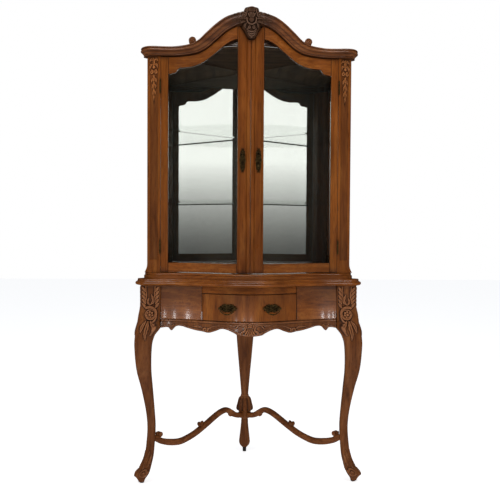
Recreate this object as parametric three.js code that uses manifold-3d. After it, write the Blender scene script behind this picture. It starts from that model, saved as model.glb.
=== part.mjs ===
// Corner display cabinet: a glazed upper case with two bowed doors, on a three-legged stand with one drawer.
// Millimetres, +Z up. The front faces -Y and +X is to the right as one looks at the front.
// Plan shapes are given as [x, depth], where depth is measured forward from the corner of the room.
// The two walls of that corner are the lines depth = |x|.
import * as THREE from "three";
import { mergeVertices } from "three/addons/utils/BufferGeometryUtils.js";
import Module from "manifold-3d";

const wasm = await Module();
wasm.setup();

// ---- driving dimensions ----
const DEPTH = 650; // wall corner to the front of the stand top
const GAP = 0.4; // clearance between fixed neighbours
const PLAY = 1.5; // clearance round a moving piece
const WALL_CLEARANCE = 3;

const STAND = { tip: 486, bottom: 846, top: 874, sides: 536, rise: 114, halfWave: 370, inset: 28 };
const FRIEZE = {
  bottom: 702, bulge: 8, thick: 20, drawerHalf: 200, railBottom: 815, railSetBack: 3, end: 375.8,
};
const APRON = { proud: 6, bead: 5, beadHeight: 10, thick: 24 };
const BASE = { tip: 452, top: 899, overhang: 20 };
const DOOR = { sides: 497, rise: 99, halfWave: 345, thick: 24, bottom: 902, top: 3, outer: 377.8 };
const STILE = { paneInner: 54.6, paneOuter: 347, stripHalf: 16, stripRise: 8, paneBottom: 942 };
const PANE = { inset: 10, thick: 4 };
const CASE = { side: 438, sideDepth: 469.4, jamb: 379.6, jambDepth: 499.5, panelEnd: 404, ceiling: 1842 };
const CORNICE = { tip: 466, overhang: 30, deep: 75, topBoard: 1852 };
const CURL = { x: 244, up: 12, radius: 15, deep: 28, setBack: 6 };
const CREST = { half: 95, joint: 1926, shellRise: 22, pendantHalf: 46 };
const HINGE = { x: 380.3, depth: 504.4, radius: 3.4, length: 60, low: 1010, high: 1690 };
const SHELF = { heights: [1213, 1527], thick: 5, back: 26, end: 392, railHigh: 5, railDeep: 8, railHalf: 360 };
const BACK_LEG = { depth: 52, cut: 0.16, peg: 22, pegRadius: 9.5 };
const FOOT = { x: 455, depth: 514, glide: 5, glideRadius: 11 };
const BACK_RAIL = { near: 2, far: 22, start: 50, end: 434 }; // distances from the wall, and along it
const RUNNER = { bottom: 688, guideTop: 730, outer: 16, tread: 22, setBack: 40 };
const STRETCHER = { anchor: 190, start: 24, endShort: 25.4, wide: 12, tall: 15 };
const DRAWER = { back: 236, side: 184, sideThick: 12, top: 792, floor: 716, floorThick: 8 };
const HANDLE = {
  x: 91, z: 759, post: 33, reach: 16, plateHalf: 41, plateTall: 22, plateThick: 2.4, lift: 1.2, bar: 2.4,
};
const LOCK = { x: 33, z: 1400, plateHalf: 13, plateHeight: 131, plateMid: 1372.5, hole: 4, plateThick: 2.6 };
const LOCK_CASE = { left: -52, right: -10, thick: 12, bottom: 1362, top: 1422, wall: 3 };
const BOLT = { left: -44, right: -11, bottom: 1370.6, top: 1383.4, play: 0.6 };

// ---- plan curves and heights ----
const bow = (x, shape) => shape.sides + (shape.rise / 2) * (1 + Math.cos((Math.PI * x) / shape.halfWave));
const standFront = (x) => bow(x, STAND);
const doorFront = (x) => bow(x, DOOR);
// The frieze swells forward towards its bottom edge.
const friezeFront = (x, z) => {
  const up = (z - FRIEZE.bottom) / (STAND.bottom - FRIEZE.bottom);
  const swell = Math.cos((Math.PI / 2) * Math.min(Math.max(up, 0), 1));
  return standFront(x) - STAND.inset + FRIEZE.bulge * swell;
};

// A smooth, symmetric height curve through [distance from the middle, value] points.
function curveThrough(points) {
  const last = points.length - 1;
  const slopes = points.map((p, i) => {
    if (i === 0 || i === last) return 0;
    return (points[i + 1][1] - points[i - 1][1]) / (points[i + 1][0] - points[i - 1][0]);
  });
  return (x) => {
    const t = Math.min(Math.max(Math.abs(x), points[0][0]), points[last][0]);
    let i = 0;
    while (i < last - 1 && t > points[i + 1][0]) i += 1;
    const width = points[i + 1][0] - points[i][0];
    const s = (t - points[i][0]) / width;
    const rise = points[i + 1][1] - points[i][1];
    const ease = s * s * (3 - 2 * s);
    const bend = slopes[i] * s * (1 - s) * (1 - s) - slopes[i + 1] * s * s * (1 - s);
    return points[i][1] + rise * ease + width * bend;
  };
}

const corniceTop = curveThrough([
  [0, 1978], [42, 1975], [67, 1970], [105, 1959], [144, 1936], [183, 1905], [220, 1874], [256, 1860],
  [300, 1854], [330, 1852], [480, 1852],
]);
const corniceUnder = curveThrough([
  [0, 1932], [42, 1929], [67, 1923], [105, 1903], [144, 1872], [183, 1842],
  [220, 1826], [256, 1820], [300, 1817], [330, 1816], [480, 1816],
]);
const pendantEdge = curveThrough([
  [0, 1867], [9, 1869], [15, 1874], [22, 1885], [31, 1904], [42, 1919], [54, 1932],
]);
const crestTop = curveThrough([
  [0, 1996], [14, 1994], [27, 1990], [40, 1982], [60, 1975], [78, 1968], [95, 1961],
]);
const crestUnder = curveThrough([[0, 1918], [46, 1918], [60, 1926], [95, 1938]]);
const paneTop = curveThrough([
  [54, 1872], [72, 1869], [105, 1853], [138, 1828], [171, 1804], [211, 1781],
  [252, 1770], [285, 1768], [303, 1765], [313, 1750], [330, 1745], [347, 1741],
]);
const apronEdge = curveThrough([
  [0, 642], [50, 647], [64, 655], [91, 667], [117, 671], [145, 660], [171, 652], [200, 656],
  [226, 659], [261, 667], [288, 674], [310, 672], [330, 654], [344, 667], [376, 665],
]);
const legMiddle = curveThrough([
  [5, 456], [22, 456], [38, 455.4], [52, 447], [64, 440.5], [104, 427.5], [151, 421.3], [232, 416.7], [306, 421.8],
  [400, 433.9], [489, 446.9], [590, 449.5], [630, 443], [647, 436], [664, 428], [692, 424.4], [711, 422.5],
  [749, 418.8], [846, 418.8],
]);
const legWidth = curveThrough([
  [5, 24], [20, 36], [38, 59], [52, 55], [62, 48.5], [104, 39.4], [151, 35.8], [232, 34.5], [306, 36.8], [400, 47],
  [489, 61], [590, 72.6], [630, 82], [647, 92], [664, 101], [692, 94.6], [711, 90], [749, 84.4], [846, 84.4],
]);
const backLegHalf = curveThrough([
  [22, 14], [32, 22], [44, 27], [56, 27], [110, 21], [153, 17], [164, 18], [167, 30], [199, 30], [203, 38],
  [214, 41], [240, 35], [262, 29], [271, 20], [286, 17.5], [560, 40.5], [640, 42], [846, 42],
]);
const stretcherHeight = curveThrough([
  [0, 178], [0.08, 157], [0.16, 143], [0.26, 134], [0.33, 137], [0.44, 152], [0.56, 179], [0.68, 209], [0.75, 222],
  [0.81, 224], [0.86, 210], [0.92, 190], [1, 183],
]);

// ---- materials ----
const COLOURS = {
  walnut: [0x7a4515, 0.38, 0], carving: [0x4a3320, 0.5, 0],
  inside: [0x5b3a1e, 0.7, 0], drawerBox: [0x8a6a42, 0.7, 0],
  glass: [0xdfe6e4, 0.05, 0], mirror: [0x9aa19b, 0.12, 0.9],
  brass: [0x6a5128, 0.4, 0.9], pad: [0x17130f, 0.6, 0],
};
const parts = new THREE.Group();

function finishOf(name) {
  const [color, roughness, metalness] = COLOURS[name];
  const clear = name === "glass";
  const opacity = clear ? 0.3 : 1;
  return new THREE.MeshStandardMaterial({ color, roughness, metalness, transparent: clear, opacity });
}

function add(name, geometry, finish, home = parts) {
  const mesh = new THREE.Mesh(geometry, finishOf(finish));
  mesh.name = name;
  home.add(mesh);
  return mesh;
}

// The right-hand piece, and its mirror image on the left.
function addPair(stem, geometry, finish, tail = "") {
  add(`${stem}right${tail}`, geometry, finish);
  add(`${stem}left${tail}`, geometry, finish).scale.x = -1;
}

// ---- geometry helpers ----
const at = (x, depth, z) => new THREE.Vector3(x, DEPTH / 2 - depth, z);
const range = (from, to, steps) => Array.from({ length: steps + 1 }, (_, i) => from + ((to - from) * i) / steps);
const mix = (a, b, t) => a + (b - a) * t;

// The centre of the area inside a flat ring.
function areaCentre(ring) {
  const start = ring[0];
  const slices = ring.slice(2).map((p, i) => {
    const before = ring[i + 1];
    return {
      middle: start.clone().add(before).add(p).divideScalar(3),
      turn: before.clone().sub(start).cross(p.clone().sub(start)),
    };
  });
  const normal = slices.reduce((sum, slice) => sum.add(slice.turn), new THREE.Vector3());
  const whole = normal.lengthSq();
  return slices.reduce(
    (sum, slice) => sum.addScaledVector(slice.middle, slice.turn.dot(normal) / whole),
    new THREE.Vector3(),
  );
}

// A closed solid over a row of rings, each with the same number of points, with a fan of faces over each end.
function loft(rings) {
  const count = rings[0].length;
  const points = rings.flat();
  const faces = [];
  for (let r = 0; r < rings.length - 1; r += 1) {
    for (let k = 0; k < count; k += 1) {
      const a = r * count + k;
      const b = r * count + ((k + 1) % count);
      faces.push(a, b, b + count, a, b + count, a + count);
    }
  }
  const lastStart = (rings.length - 1) * count;
  for (const [start, ring, turned] of [[0, rings[0], true], [lastStart, rings.at(-1), false]]) {
    const hub = points.push(areaCentre(ring)) - 1;
    for (let k = 0; k < count; k += 1) {
      const a = start + k;
      const b = start + ((k + 1) % count);
      faces.push(...(turned ? [b, a, hub] : [a, b, hub]));
    }
  }
  return facingOut(points, faces);
}

// Builds the geometry, and turns every face round when the enclosed volume comes out negative.
function facingOut(points, faces) {
  let volume = 0;
  for (let i = 0; i < faces.length; i += 3) {
    const [a, b, c] = [points[faces[i]], points[faces[i + 1]], points[faces[i + 2]]];
    volume += a.dot(b.clone().cross(c));
  }
  const turned = volume < 0 ? faces.slice().reverse() : faces;
  const geometry = new THREE.BufferGeometry().setFromPoints(points);
  geometry.setIndex(turned);
  return geometry;
}

// An upright solid over a plan outline, from z0 to z1. The outline is seen whole from its middle.
const prism = (outline, z0, z1) => loft([z0, z1].map((z) => outline.map(([x, d]) => at(x, d, z))));

// A board that follows a curved front: at each x it fills from lower to upper and from back to front.
function board(xs, lower, upper, front, back, rows = 1) {
  return loft(xs.map((x) => {
    const heights = range(lower(x), upper(x), rows);
    const face = heights.map((z) => at(x, front(x, z), z));
    return [at(x, back(x), lower(x)), ...face, at(x, back(x), upper(x))];
  }));
}

function toSolid(geometry) {
  const bare = geometry.clone();
  bare.deleteAttribute("normal");
  bare.deleteAttribute("uv");
  const merged = mergeVertices(bare, 1e-3);
  const vertProperties = new Float32Array(merged.attributes.position.array);
  const triVerts = new Uint32Array(merged.index.array);
  return new wasm.Manifold(new wasm.Mesh({ numProp: 3, vertProperties, triVerts }));
}

function fromSolid(solid) {
  const mesh = solid.getMesh();
  const geometry = new THREE.BufferGeometry();
  geometry.setAttribute("position", new THREE.BufferAttribute(mesh.vertProperties, 3));
  geometry.setIndex(new THREE.BufferAttribute(mesh.triVerts, 1));
  return geometry;
}

const joined = (...pieces) => fromSolid(pieces.map(toSolid).reduce((a, b) => a.add(b)));
const cutBy = (piece, ...tools) => fromSolid(tools.map(toSolid).reduce((a, b) => a.subtract(b), toSolid(piece)));

function boxAt(x0, x1, d0, d1, z0, z1) {
  return prism([[x0, d0], [x1, d0], [x1, d1], [x0, d1]], z0, z1);
}

// A round bar along depth, centred on (x, z), between two depths.
function barAlongDepth(x, z, radius, d0, d1, sides = 16) {
  const bar = new THREE.CylinderGeometry(radius, radius, d1 - d0, sides);
  return bar.translate(x, DEPTH / 2 - (d0 + d1) / 2, z);
}

// ---- plan outlines ----
const CORNER_STEPS = 5;

// The front edge from the left wall to the right wall: a bowed front, a turned corner and a tip on the wall.
function frontPath(front, edge, corner, tip, steps) {
  const half = range(0, edge, steps).map((x) => [x, front(x)]);
  const start = half.at(-1);
  for (const t of range(0, 1, CORNER_STEPS).slice(1)) {
    const near = [mix(start[0], corner[0], t), mix(start[1], corner[1], t)];
    const far = [mix(corner[0], tip[0], t), mix(corner[1], tip[1], t)];
    half.push([mix(near[0], far[0], t), mix(near[1], far[1], t)]);
  }
  const mirrored = half.slice(1).reverse().map(([x, d]) => [-x, d]);
  return [...mirrored, ...half];
}

// The same edge moved inwards. The tips slide along the walls.
function insetPath(path, inset) {
  return path.map(([x, d], i) => {
    const before = path[Math.max(i - 1, 0)];
    const after = path[Math.min(i + 1, path.length - 1)];
    const atTip = i === 0 || i === path.length - 1;
    const [tx, td] = [after[0] - before[0], after[1] - before[1]];
    const length = Math.hypot(tx, td);
    if (atTip) return [x - (Math.sign(x) * inset) / Math.SQRT2, d - inset / Math.SQRT2];
    return [x + (td / length) * inset, d - (tx / length) * inset];
  });
}

// A slab with a moulded front edge. The profile lists [inset, z] from the bottom up.
function mouldedSlab(path, profile, back) {
  return loft(profile.map(([inset, z]) => [...insetPath(path, inset), [0, back]].map(([x, d]) => at(x, d, z))));
}

// Keeps a plan point of the right half in front of the wall.
function clearOfWall([x, d]) {
  const short = Math.max((x + WALL_CLEARANCE - d) / 2, 0);
  return [x - short, d + short];
}

// ---- stand ----
const standPath = frontPath(standFront, 430, [474, 545], [STAND.tip, STAND.tip], 18);

function makeStandTop() {
  const { bottom, top } = STAND;
  const profile = [
    [14, bottom], [5, bottom + 4], [0, bottom + 8], [2, bottom + 14], [9, bottom + 19], [12, bottom + 24], [17, top],
  ];
  add("stand_top", mouldedSlab(standPath, profile, 0), "walnut");
}

const CORNER_POINTS = 4;

// A square section with rounded corners. The outer front corner is the leg's ridge, so it is the sharpest.
function legSection(z, isBlock) {
  const middle = legMiddle(z);
  const half = legWidth(z) / 2;
  const depth = FOOT.depth + middle - FOOT.x;
  const ring = [];
  [[1, 1], [-1, 1], [-1, -1], [1, -1]].forEach(([sx, sd], corner) => {
    const ridge = corner === 0;
    const radius = half * (isBlock ? 0.12 : ridge ? 0.3 : 0.6);
    const startAngle = (corner * Math.PI) / 2;
    for (const turn of range(0, Math.PI / 2, CORNER_POINTS - 1)) {
      const x = middle + sx * (half - radius) + radius * Math.cos(startAngle + turn);
      const d = depth + sd * (half - radius) + radius * Math.sin(startAngle + turn);
      ring.push(clearOfWall([x, d]));
    }
  });
  return ring.map(([x, d]) => at(x, d, z));
}

function makeFrontLegs() {
  const bottom = FOOT.glide + GAP;
  const heights = [
    bottom, 14, 24, 38, 46, 54, 64, 84, 104, 128, 151, 190, 232, 270, 306, 350, 400, 445, 489, 540, 590,
    630, 647, 664, 678, 692,
  ];
  const leg = heights.map((z) => legSection(z, false));
  const block = [702, 725, 749, STAND.bottom - GAP].map((z) => legSection(z, true));
  addPair("leg_front_", loft([...leg, ...block]), "walnut");
  const glide = new THREE.CylinderGeometry(FOOT.glideRadius, FOOT.glideRadius - 2, FOOT.glide, 16);
  const place = at(FOOT.x, FOOT.depth, FOOT.glide / 2);
  addPair("glide_front_", glide.rotateX(Math.PI / 2).translate(place.x, place.y, place.z), "pad");
}

function makeBackLeg() {
  const heights = [
    BACK_LEG.peg, 32, 44, 56, 110, 153, 164, 167, 199, 203, 214, 228, 240, 262, 271, 286, 420, 560, 640,
    STAND.bottom - GAP,
  ];
  const { cut } = BACK_LEG;
  const rings = heights.map((z) => {
    const half = backLegHalf(z);
    const corners = [[1, cut], [cut, 1], [-cut, 1], [-1, cut], [-1, -cut], [-cut, -1], [cut, -1], [1, -cut]];
    return corners.map(([x, d]) => at(x * half, BACK_LEG.depth + d * half, z));
  });
  add("leg_back", loft(rings), "walnut");
  const tall = BACK_LEG.peg - GAP;
  const peg = new THREE.CylinderGeometry(BACK_LEG.pegRadius, BACK_LEG.pegRadius - 1.5, tall, 16);
  const place = at(0, BACK_LEG.depth, tall / 2);
  add("glide_back", peg.rotateX(Math.PI / 2).translate(place.x, place.y, place.z), "pad");
}

function makeFrieze() {
  const panel = board(
    range(FRIEZE.drawerHalf + GAP, FRIEZE.end, 8),
    () => FRIEZE.bottom + GAP,
    () => STAND.bottom - GAP,
    friezeFront,
    (x) => standFront(x) - STAND.inset - FRIEZE.thick,
    6,
  );
  addPair("frieze_panel_", panel, "walnut");
  const rail = board(
    range(-FRIEZE.drawerHalf, FRIEZE.drawerHalf, 14),
    () => FRIEZE.railBottom + PLAY,
    () => STAND.bottom - GAP,
    (x, z) => friezeFront(x, z) - FRIEZE.railSetBack,
    (x) => standFront(x) - STAND.inset - 40,
    2,
  );
  add("drawer_top_rail", rail, "walnut");
}

// The bead runs along the top of the apron, where it meets the drawer and the side panels.
function makeApron() {
  const top = FRIEZE.bottom - GAP / 2;
  const beadBottom = FRIEZE.bottom - APRON.beadHeight;
  const shape = loft(range(-FRIEZE.end, FRIEZE.end, 56).map((x) => {
    const low = apronEdge(x);
    const face = standFront(x) - STAND.inset + APRON.proud;
    const back = face - APRON.thick;
    return [
      at(x, back, low), at(x, face, low), at(x, face, beadBottom),
      at(x, face + APRON.bead, (beadBottom + top) / 2), at(x, face, top), at(x, back, top),
    ];
  }));
  add("apron", shape, "walnut");
}

// Rails along the two walls, from the back leg to the front legs.
function makeBackRails() {
  const near = BACK_RAIL.near * Math.SQRT2;
  const far = BACK_RAIL.far * Math.SQRT2;
  const start = BACK_LEG.depth + BACK_RAIL.start; // x + depth just past the side of the back leg
  const { end } = BACK_RAIL;
  const outline = [
    [(start - near) / 2, (start + near) / 2],
    [(start - far) / 2, (start + far) / 2],
    [end - far, end],
    [end - near, end],
  ];
  addPair("back_rail_", prism(outline, FRIEZE.bottom, STAND.bottom - GAP), "inside");
}

function makeRunners() {
  const front = friezeFront(DRAWER.side, FRIEZE.bottom) - RUNNER.setBack;
  const back = DRAWER.back - 4;
  const outer = DRAWER.side + RUNNER.outer;
  const tread = boxAt(DRAWER.side - RUNNER.tread, outer, back, front, RUNNER.bottom, FRIEZE.bottom);
  const guide = boxAt(DRAWER.side + 1, outer, back, front, RUNNER.bottom, RUNNER.guideTop);
  addPair("drawer_runner_", joined(tread, guide), "inside");
}

// S-shaped stretchers from the front legs to the block of the back leg.
function makeStretchers() {
  const across = legMiddle(STRETCHER.anchor);
  const ankle = [across, FOOT.depth + across - FOOT.x];
  const run = [-ankle[0], BACK_LEG.depth - ankle[1]];
  const length = Math.hypot(...run);
  const [ux, ud] = [run[0] / length, run[1] / length];
  const rings = range(0, 1, 28).map((t) => {
    const along = mix(STRETCHER.start, length - STRETCHER.endShort, t);
    const [x, d] = [ankle[0] + ux * along, ankle[1] + ud * along];
    return range(0, 7, 7).map((k) => {
      const angle = ((k + 0.5) * Math.PI) / 4;
      const side = Math.cos(angle) * STRETCHER.wide;
      return at(x - ud * side, d + ux * side, stretcherHeight(t) + Math.sin(angle) * STRETCHER.tall);
    });
  });
  addPair("stretcher_", loft(rings), "walnut");
}

// ---- drawer ----
function makeDrawer() {
  const half = FRIEZE.drawerHalf - PLAY;
  const low = FRIEZE.bottom + PLAY;
  const backOfFront = (x) => standFront(x) - STAND.inset - FRIEZE.thick;
  const frontXs = range(-half, half, 20);
  const front = board(frontXs, () => low, () => FRIEZE.railBottom - GAP, friezeFront, backOfFront, 5);
  add("drawer_front", front, "walnut");
  const { side, sideThick, back, floor, top } = DRAWER;
  const sideFront = backOfFront(side) - GAP;
  const sidePiece = boxAt(side - sideThick, side, back, sideFront, low, top);
  addPair("drawer_side_", sidePiece, "drawerBox");
  const inner = side - sideThick - GAP;
  add("drawer_back", boxAt(-inner, inner, back, back + sideThick, low, top), "drawerBox");
  const floorXs = range(-inner, inner, 14);
  const floorPiece = board(
    floorXs,
    () => floor - DRAWER.floorThick,
    () => floor,
    (x) => backOfFront(x) - GAP,
    () => back + sideThick + GAP,
  );
  add("drawer_bottom", floorPiece, "drawerBox");
}

// A place on the bowed front: its x axis lies along the surface and its -Y axis points straight out of it.
function placeOn(front, x, z, lift) {
  const slope = (front(x + 1, z) - front(x - 1, z)) / 2;
  const place = new THREE.Group();
  place.position.copy(at(x, front(x, z) + lift, z));
  place.rotation.z = -Math.atan(slope);
  parts.add(place);
  return place;
}

function plateOutline(halfWidth, halfHeight, waves) {
  return range(0, 47, 47).map((i) => {
    const angle = (i * Math.PI) / 24;
    const swell = 1 - 0.16 * (1 - Math.cos(waves * angle)) / 2;
    return [Math.cos(angle) * halfWidth * swell, Math.sin(angle) * halfHeight * swell];
  });
}

// A flat plate in the local x, z plane, standing out by its thickness towards -Y.
function platePiece(outline, thick) {
  return loft([0, -thick].map((y) => outline.map(([x, z]) => new THREE.Vector3(x, y, z))));
}

function makeHandles() {
  for (const [side, sign] of [["right", 1], ["left", -1]]) {
    const place = placeOn(friezeFront, sign * HANDLE.x, HANDLE.z, HANDLE.lift);
    const plate = platePiece(plateOutline(HANDLE.plateHalf, HANDLE.plateTall, 8), HANDLE.plateThick);
    const postLength = HANDLE.reach + 3.6;
    const posts = [-HANDLE.post, HANDLE.post].map((x) => {
      const post = new THREE.CylinderGeometry(4.6, 5.4, postLength, 12);
      return post.translate(x, -postLength / 2 - 0.8, 0);
    });
    add(`drawer_plate_${side}`, joined(plate, ...posts), "brass", place);
    const grip = [[-27, 0], [-21, -2], [-25, -13], [-13, -23], [0, -25], [13, -23], [25, -13], [21, -2], [27, 0]];
    const path = new THREE.CatmullRomCurve3(grip.map(([x, z]) => new THREE.Vector3(x, -HANDLE.reach, z)));
    const section = new THREE.Shape().absarc(0, 0, HANDLE.bar, 0, Math.PI * 2, false);
    const bail = new THREE.ExtrudeGeometry(section, { steps: 36, extrudePath: path, curveSegments: 4 });
    add(`drawer_bail_${side}`, bail, "brass", place);
  }
}

// ---- upper case ----
const basePath = frontPath((x) => doorFront(x) + BASE.overhang, 385, [442, 512], [BASE.tip, BASE.tip], 18);
const noseFront = (x) => doorFront(x) + CORNICE.overhang;
const corniceNose = frontPath(noseFront, 400, [455, 536], [CORNICE.tip, CORNICE.tip], 24);
const corniceBack = frontPath((x) => noseFront(x) - CORNICE.deep, 362, [400, 454], [406, 406], 24);

function makeCase() {
  const bottom = STAND.top + GAP;
  const profile = [
    [0, bottom], [0, bottom + 8], [6, bottom + 12], [5, bottom + 17], [10, bottom + 20], [12, BASE.top],
  ];
  add("cabinet_base", mouldedSlab(basePath, profile, 4), "walnut");
  const topOutline = [...insetPath(corniceBack, 1), [0, 5]];
  add("cabinet_top", prism(topOutline, CASE.ceiling + GAP, CORNICE.topBoard), "inside");
  const near = 3 * Math.SQRT2;
  const far = 13 * Math.SQRT2;
  const low = BASE.top + GAP;
  const end = CASE.panelEnd - 3;
  const panel = [[0.2, near], [0.2, far], [end, end + far], [end, end + near]];
  addPair("back_panel_", prism(panel, low, CASE.ceiling), "inside");
  const [front, back] = [far + 1, far + 6.4];
  const mirror = [[0.2, front], [0.2, back], [398, 398 + back], [398, 398 + front]];
  addPair("back_mirror_", prism(mirror, low, CASE.ceiling - 4), "mirror");
}

// Corner posts with a canted face. The foot curls outwards like a small console.
function makePilasters() {
  const footTop = 936;
  const footReach = 11;
  const { side, sideDepth, jamb, jambDepth } = CASE;
  const top = corniceUnder(side) - 1 - GAP;
  const heights = [BASE.top + GAP, 906, 914, 924, footTop, top];
  const rings = heights.map((z) => {
    const flare = footReach * Math.max((footTop - z) / (footTop - BASE.top), 0) ** 2;
    return [
      [jamb, jambDepth], [side + flare, sideDepth + flare / 2], [side + flare, side + flare + WALL_CLEARANCE],
      [405, 408.5], [405, 452], [jamb, 474],
    ].map(([x, d]) => at(x, d, z));
  });
  addPair("pilaster_", loft(rings), "walnut");
}

// The arched cornice. A head board hangs behind the doors where the arch rises above the flat top.
function makeCornice() {
  const doorBack = CORNICE.overhang + DOOR.thick + 2;
  const profile = [[doorBack, 0], [20, 0], [16, 0.2], [6, 0.5], [0, 0.68], [0, 1], [CORNICE.deep, 1]];
  const rings = corniceNose.map(([x, d], i) => {
    const [backX, backD] = corniceBack[i];
    const across = (inset) => [mix(x, backX, inset / CORNICE.deep), mix(d, backD, inset / CORNICE.deep)];
    const head = [CORNICE.deep, doorBack].map((inset) => {
      const [px, pd] = across(inset);
      return at(px, pd, Math.min(corniceUnder(px) - 1, CORNICE.topBoard + GAP));
    });
    const moulding = profile.map(([inset, share]) => {
      const [px, pd] = across(inset);
      return at(px, pd, mix(corniceUnder(px), corniceTop(px), share));
    });
    return [...head, ...moulding];
  });
  const curls = [-1, 1].map((sign) => {
    const x = sign * CURL.x;
    const front = noseFront(x) - CURL.setBack;
    return barAlongDepth(x, corniceTop(x) + CURL.up, CURL.radius, front - CURL.deep, front);
  });
  add("cornice", joined(loft(rings), ...curls), "walnut");
}

// The crest: a shell in front of the middle of the cornice, and a pendant that fills the notch in the doors.
function makeCrest() {
  const { half, joint, shellRise, pendantHalf } = CREST;
  const shellFront = (x) => noseFront(x) + shellRise * (1 - 0.5 * (x / half) ** 2);
  const shell = board(range(-half, half, 22), crestUnder, crestTop, shellFront, (x) => noseFront(x) + GAP);
  const back = doorFront(0) - DOOR.thick - 1;
  const pendantFront = noseFront(pendantHalf) + 12;
  const pendantXs = range(-pendantHalf, pendantHalf, 16);
  const pendant = board(pendantXs, pendantEdge, () => joint, () => pendantFront, () => back);
  add("crest", joined(shell, pendant), "carving");
}

// ---- doors ----
function makeDoors() {
  const back = (x) => doorFront(x) - DOOR.thick;
  const under = (x) => corniceUnder(x) - DOOR.top;
  const { paneInner, paneOuter, paneBottom, stripHalf, stripRise } = STILE;
  const low = () => DOOR.bottom;
  const hingeStile = board(range(paneOuter, DOOR.outer, 3), low, under, doorFront, back);
  addPair("door_", hingeStile, "walnut", "_hinge_stile");
  const railXs = range(paneInner + GAP, paneOuter - GAP, 28);
  addPair("door_", board(railXs, paneTop, under, doorFront, back), "walnut", "_top_rail");
  addPair("door_", board(railXs, low, () => paneBottom, doorFront, back), "walnut", "_bottom_rail");
  const paneFront = (x) => doorFront(x) - PANE.inset;
  const paneBack = (x) => paneFront(x) - PANE.thick;
  const pane = board(railXs, () => paneBottom + GAP, (x) => paneTop(x) - GAP, paneFront, paneBack);
  addPair("door_", pane, "glass", "_glass");

  const strip = (x) => doorFront(x) + stripRise * Math.sqrt(Math.max(1 - (x / stripHalf) ** 2, 0));
  const notch = (x) => Math.min(corniceUnder(x), pendantEdge(x)) - DOOR.top;
  const stripXs = [0.7, 4, 8, 11, 13.5, 15.2, 15.9, 22, 28, 34, 40, 46, paneInner];
  const meeting = board(stripXs, low, notch, strip, back);
  add("door_right_meeting_stile", meeting, "walnut");
  const bore = barAlongDepth(LOCK.x, LOCK.z, 4, doorFront(0) - 60, doorFront(0) + 20);
  add("door_left_meeting_stile", cutBy(meeting, bore), "walnut").scale.x = -1;
}

function makeHinges() {
  for (const [level, z] of [["lower", HINGE.low], ["upper", HINGE.high]]) {
    const barrel = new THREE.CylinderGeometry(HINGE.radius, HINGE.radius, HINGE.length, 12).rotateX(Math.PI / 2);
    const place = at(HINGE.x, HINGE.depth, z);
    barrel.translate(place.x, place.y, place.z);
    const leaf = boxAt(378.2, 379.2, 478, HINGE.depth - 1, z - HINGE.length / 2, z + HINGE.length / 2);
    addPair("door_hinge_", joined(barrel, leaf), "brass", `_${level}`);
  }
}

// Brass plates on the meeting stiles, the key in the left one, and its lock and bolt behind the stile.
function makeLock() {
  for (const [side, sign] of [["right", 1], ["left", -1]]) {
    const place = placeOn((x) => doorFront(x), sign * LOCK.x, LOCK.plateMid, GAP);
    const outline = plateOutline(LOCK.plateHalf, LOCK.plateHeight / 2, 10);
    const hole = new THREE.CylinderGeometry(LOCK.hole, LOCK.hole, 20, 16).translate(0, 0, LOCK.z - LOCK.plateMid);
    add(`door_${side}_escutcheon`, cutBy(platePiece(outline, LOCK.plateThick), hole), "brass", place);
  }
  const shaft = new THREE.CylinderGeometry(2.4, 2.4, 56, 12).translate(0, 6, 0);
  const ring = new THREE.TorusGeometry(8, 2, 8, 20).scale(1, 1.3, 1).translate(0, -32, 0);
  const key = add("door_key", joined(shaft, ring), "brass");
  key.position.copy(at(-LOCK.x, doorFront(LOCK.x), LOCK.z));

  const { left, right, thick, bottom, top, wall } = LOCK_CASE;
  const caseFront = doorFront(-left) - DOOR.thick - 4;
  const body = boxAt(left, right, caseFront - thick, caseFront, bottom, top);
  const [wayBack, wayFront] = [caseFront - thick + wall, caseFront - wall];
  const keyHole = barAlongDepth(-LOCK.x, LOCK.z, LOCK.hole + BOLT.play, wayBack, caseFront + 1);
  const boltWay = boxAt(BOLT.left - 2, 0, wayBack, wayFront, BOLT.bottom - BOLT.play, BOLT.top + BOLT.play);
  add("lock_case", cutBy(body, keyHole, boltWay), "brass");
  const bolt = boxAt(BOLT.left, BOLT.right, wayBack + BOLT.play, wayFront - BOLT.play, BOLT.bottom, BOLT.top);
  add("lock_bolt", bolt, "brass");
}

// ---- shelves ----
function makeShelves() {
  SHELF.heights.forEach((z, i) => {
    const level = ["lower", "upper"][i];
    const front = range(-372, 372, 24).map((x) => [x, doorFront(x) - 34]);
    const ends = [[SHELF.end, 446], [SHELF.end, SHELF.end + SHELF.back]];
    const outline = [...front, ...ends, [0, SHELF.back], ...ends.slice().reverse().map(([x, d]) => [-x, d])];
    add(`shelf_${level}`, prism(outline, z - SHELF.thick, z), "glass");
    const top = z - SHELF.thick - GAP;
    const rail = [-SHELF.railHalf, 0, SHELF.railHalf].map((x) => {
      const back = Math.abs(x) + SHELF.back - 0.6;
      const front = back + SHELF.railDeep;
      const bottom = top - SHELF.railHigh;
      return [[back, bottom], [front, bottom], [front, top], [back, top]].map(([d, height]) => at(x, d, height));
    });
    add(`shelf_rail_${level}`, loft(rail), "mirror");
  });
}

makeStandTop();
makeFrontLegs();
makeBackLeg();
makeFrieze();
makeApron();
makeBackRails();
makeRunners();
makeStretchers();
makeDrawer();
makeHandles();
makeCase();
makePilasters();
makeCornice();
makeCrest();
makeDoors();
makeHinges();
makeLock();
makeShelves();

export default parts;
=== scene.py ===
"""Looks for the corner china cabinet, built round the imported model.

Plan shapes are worked out in millimetres as (x, depth, z), where depth is measured forward from the room's
corner, and become metres in the row frame when a mesh is made.
"""

import math

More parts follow.
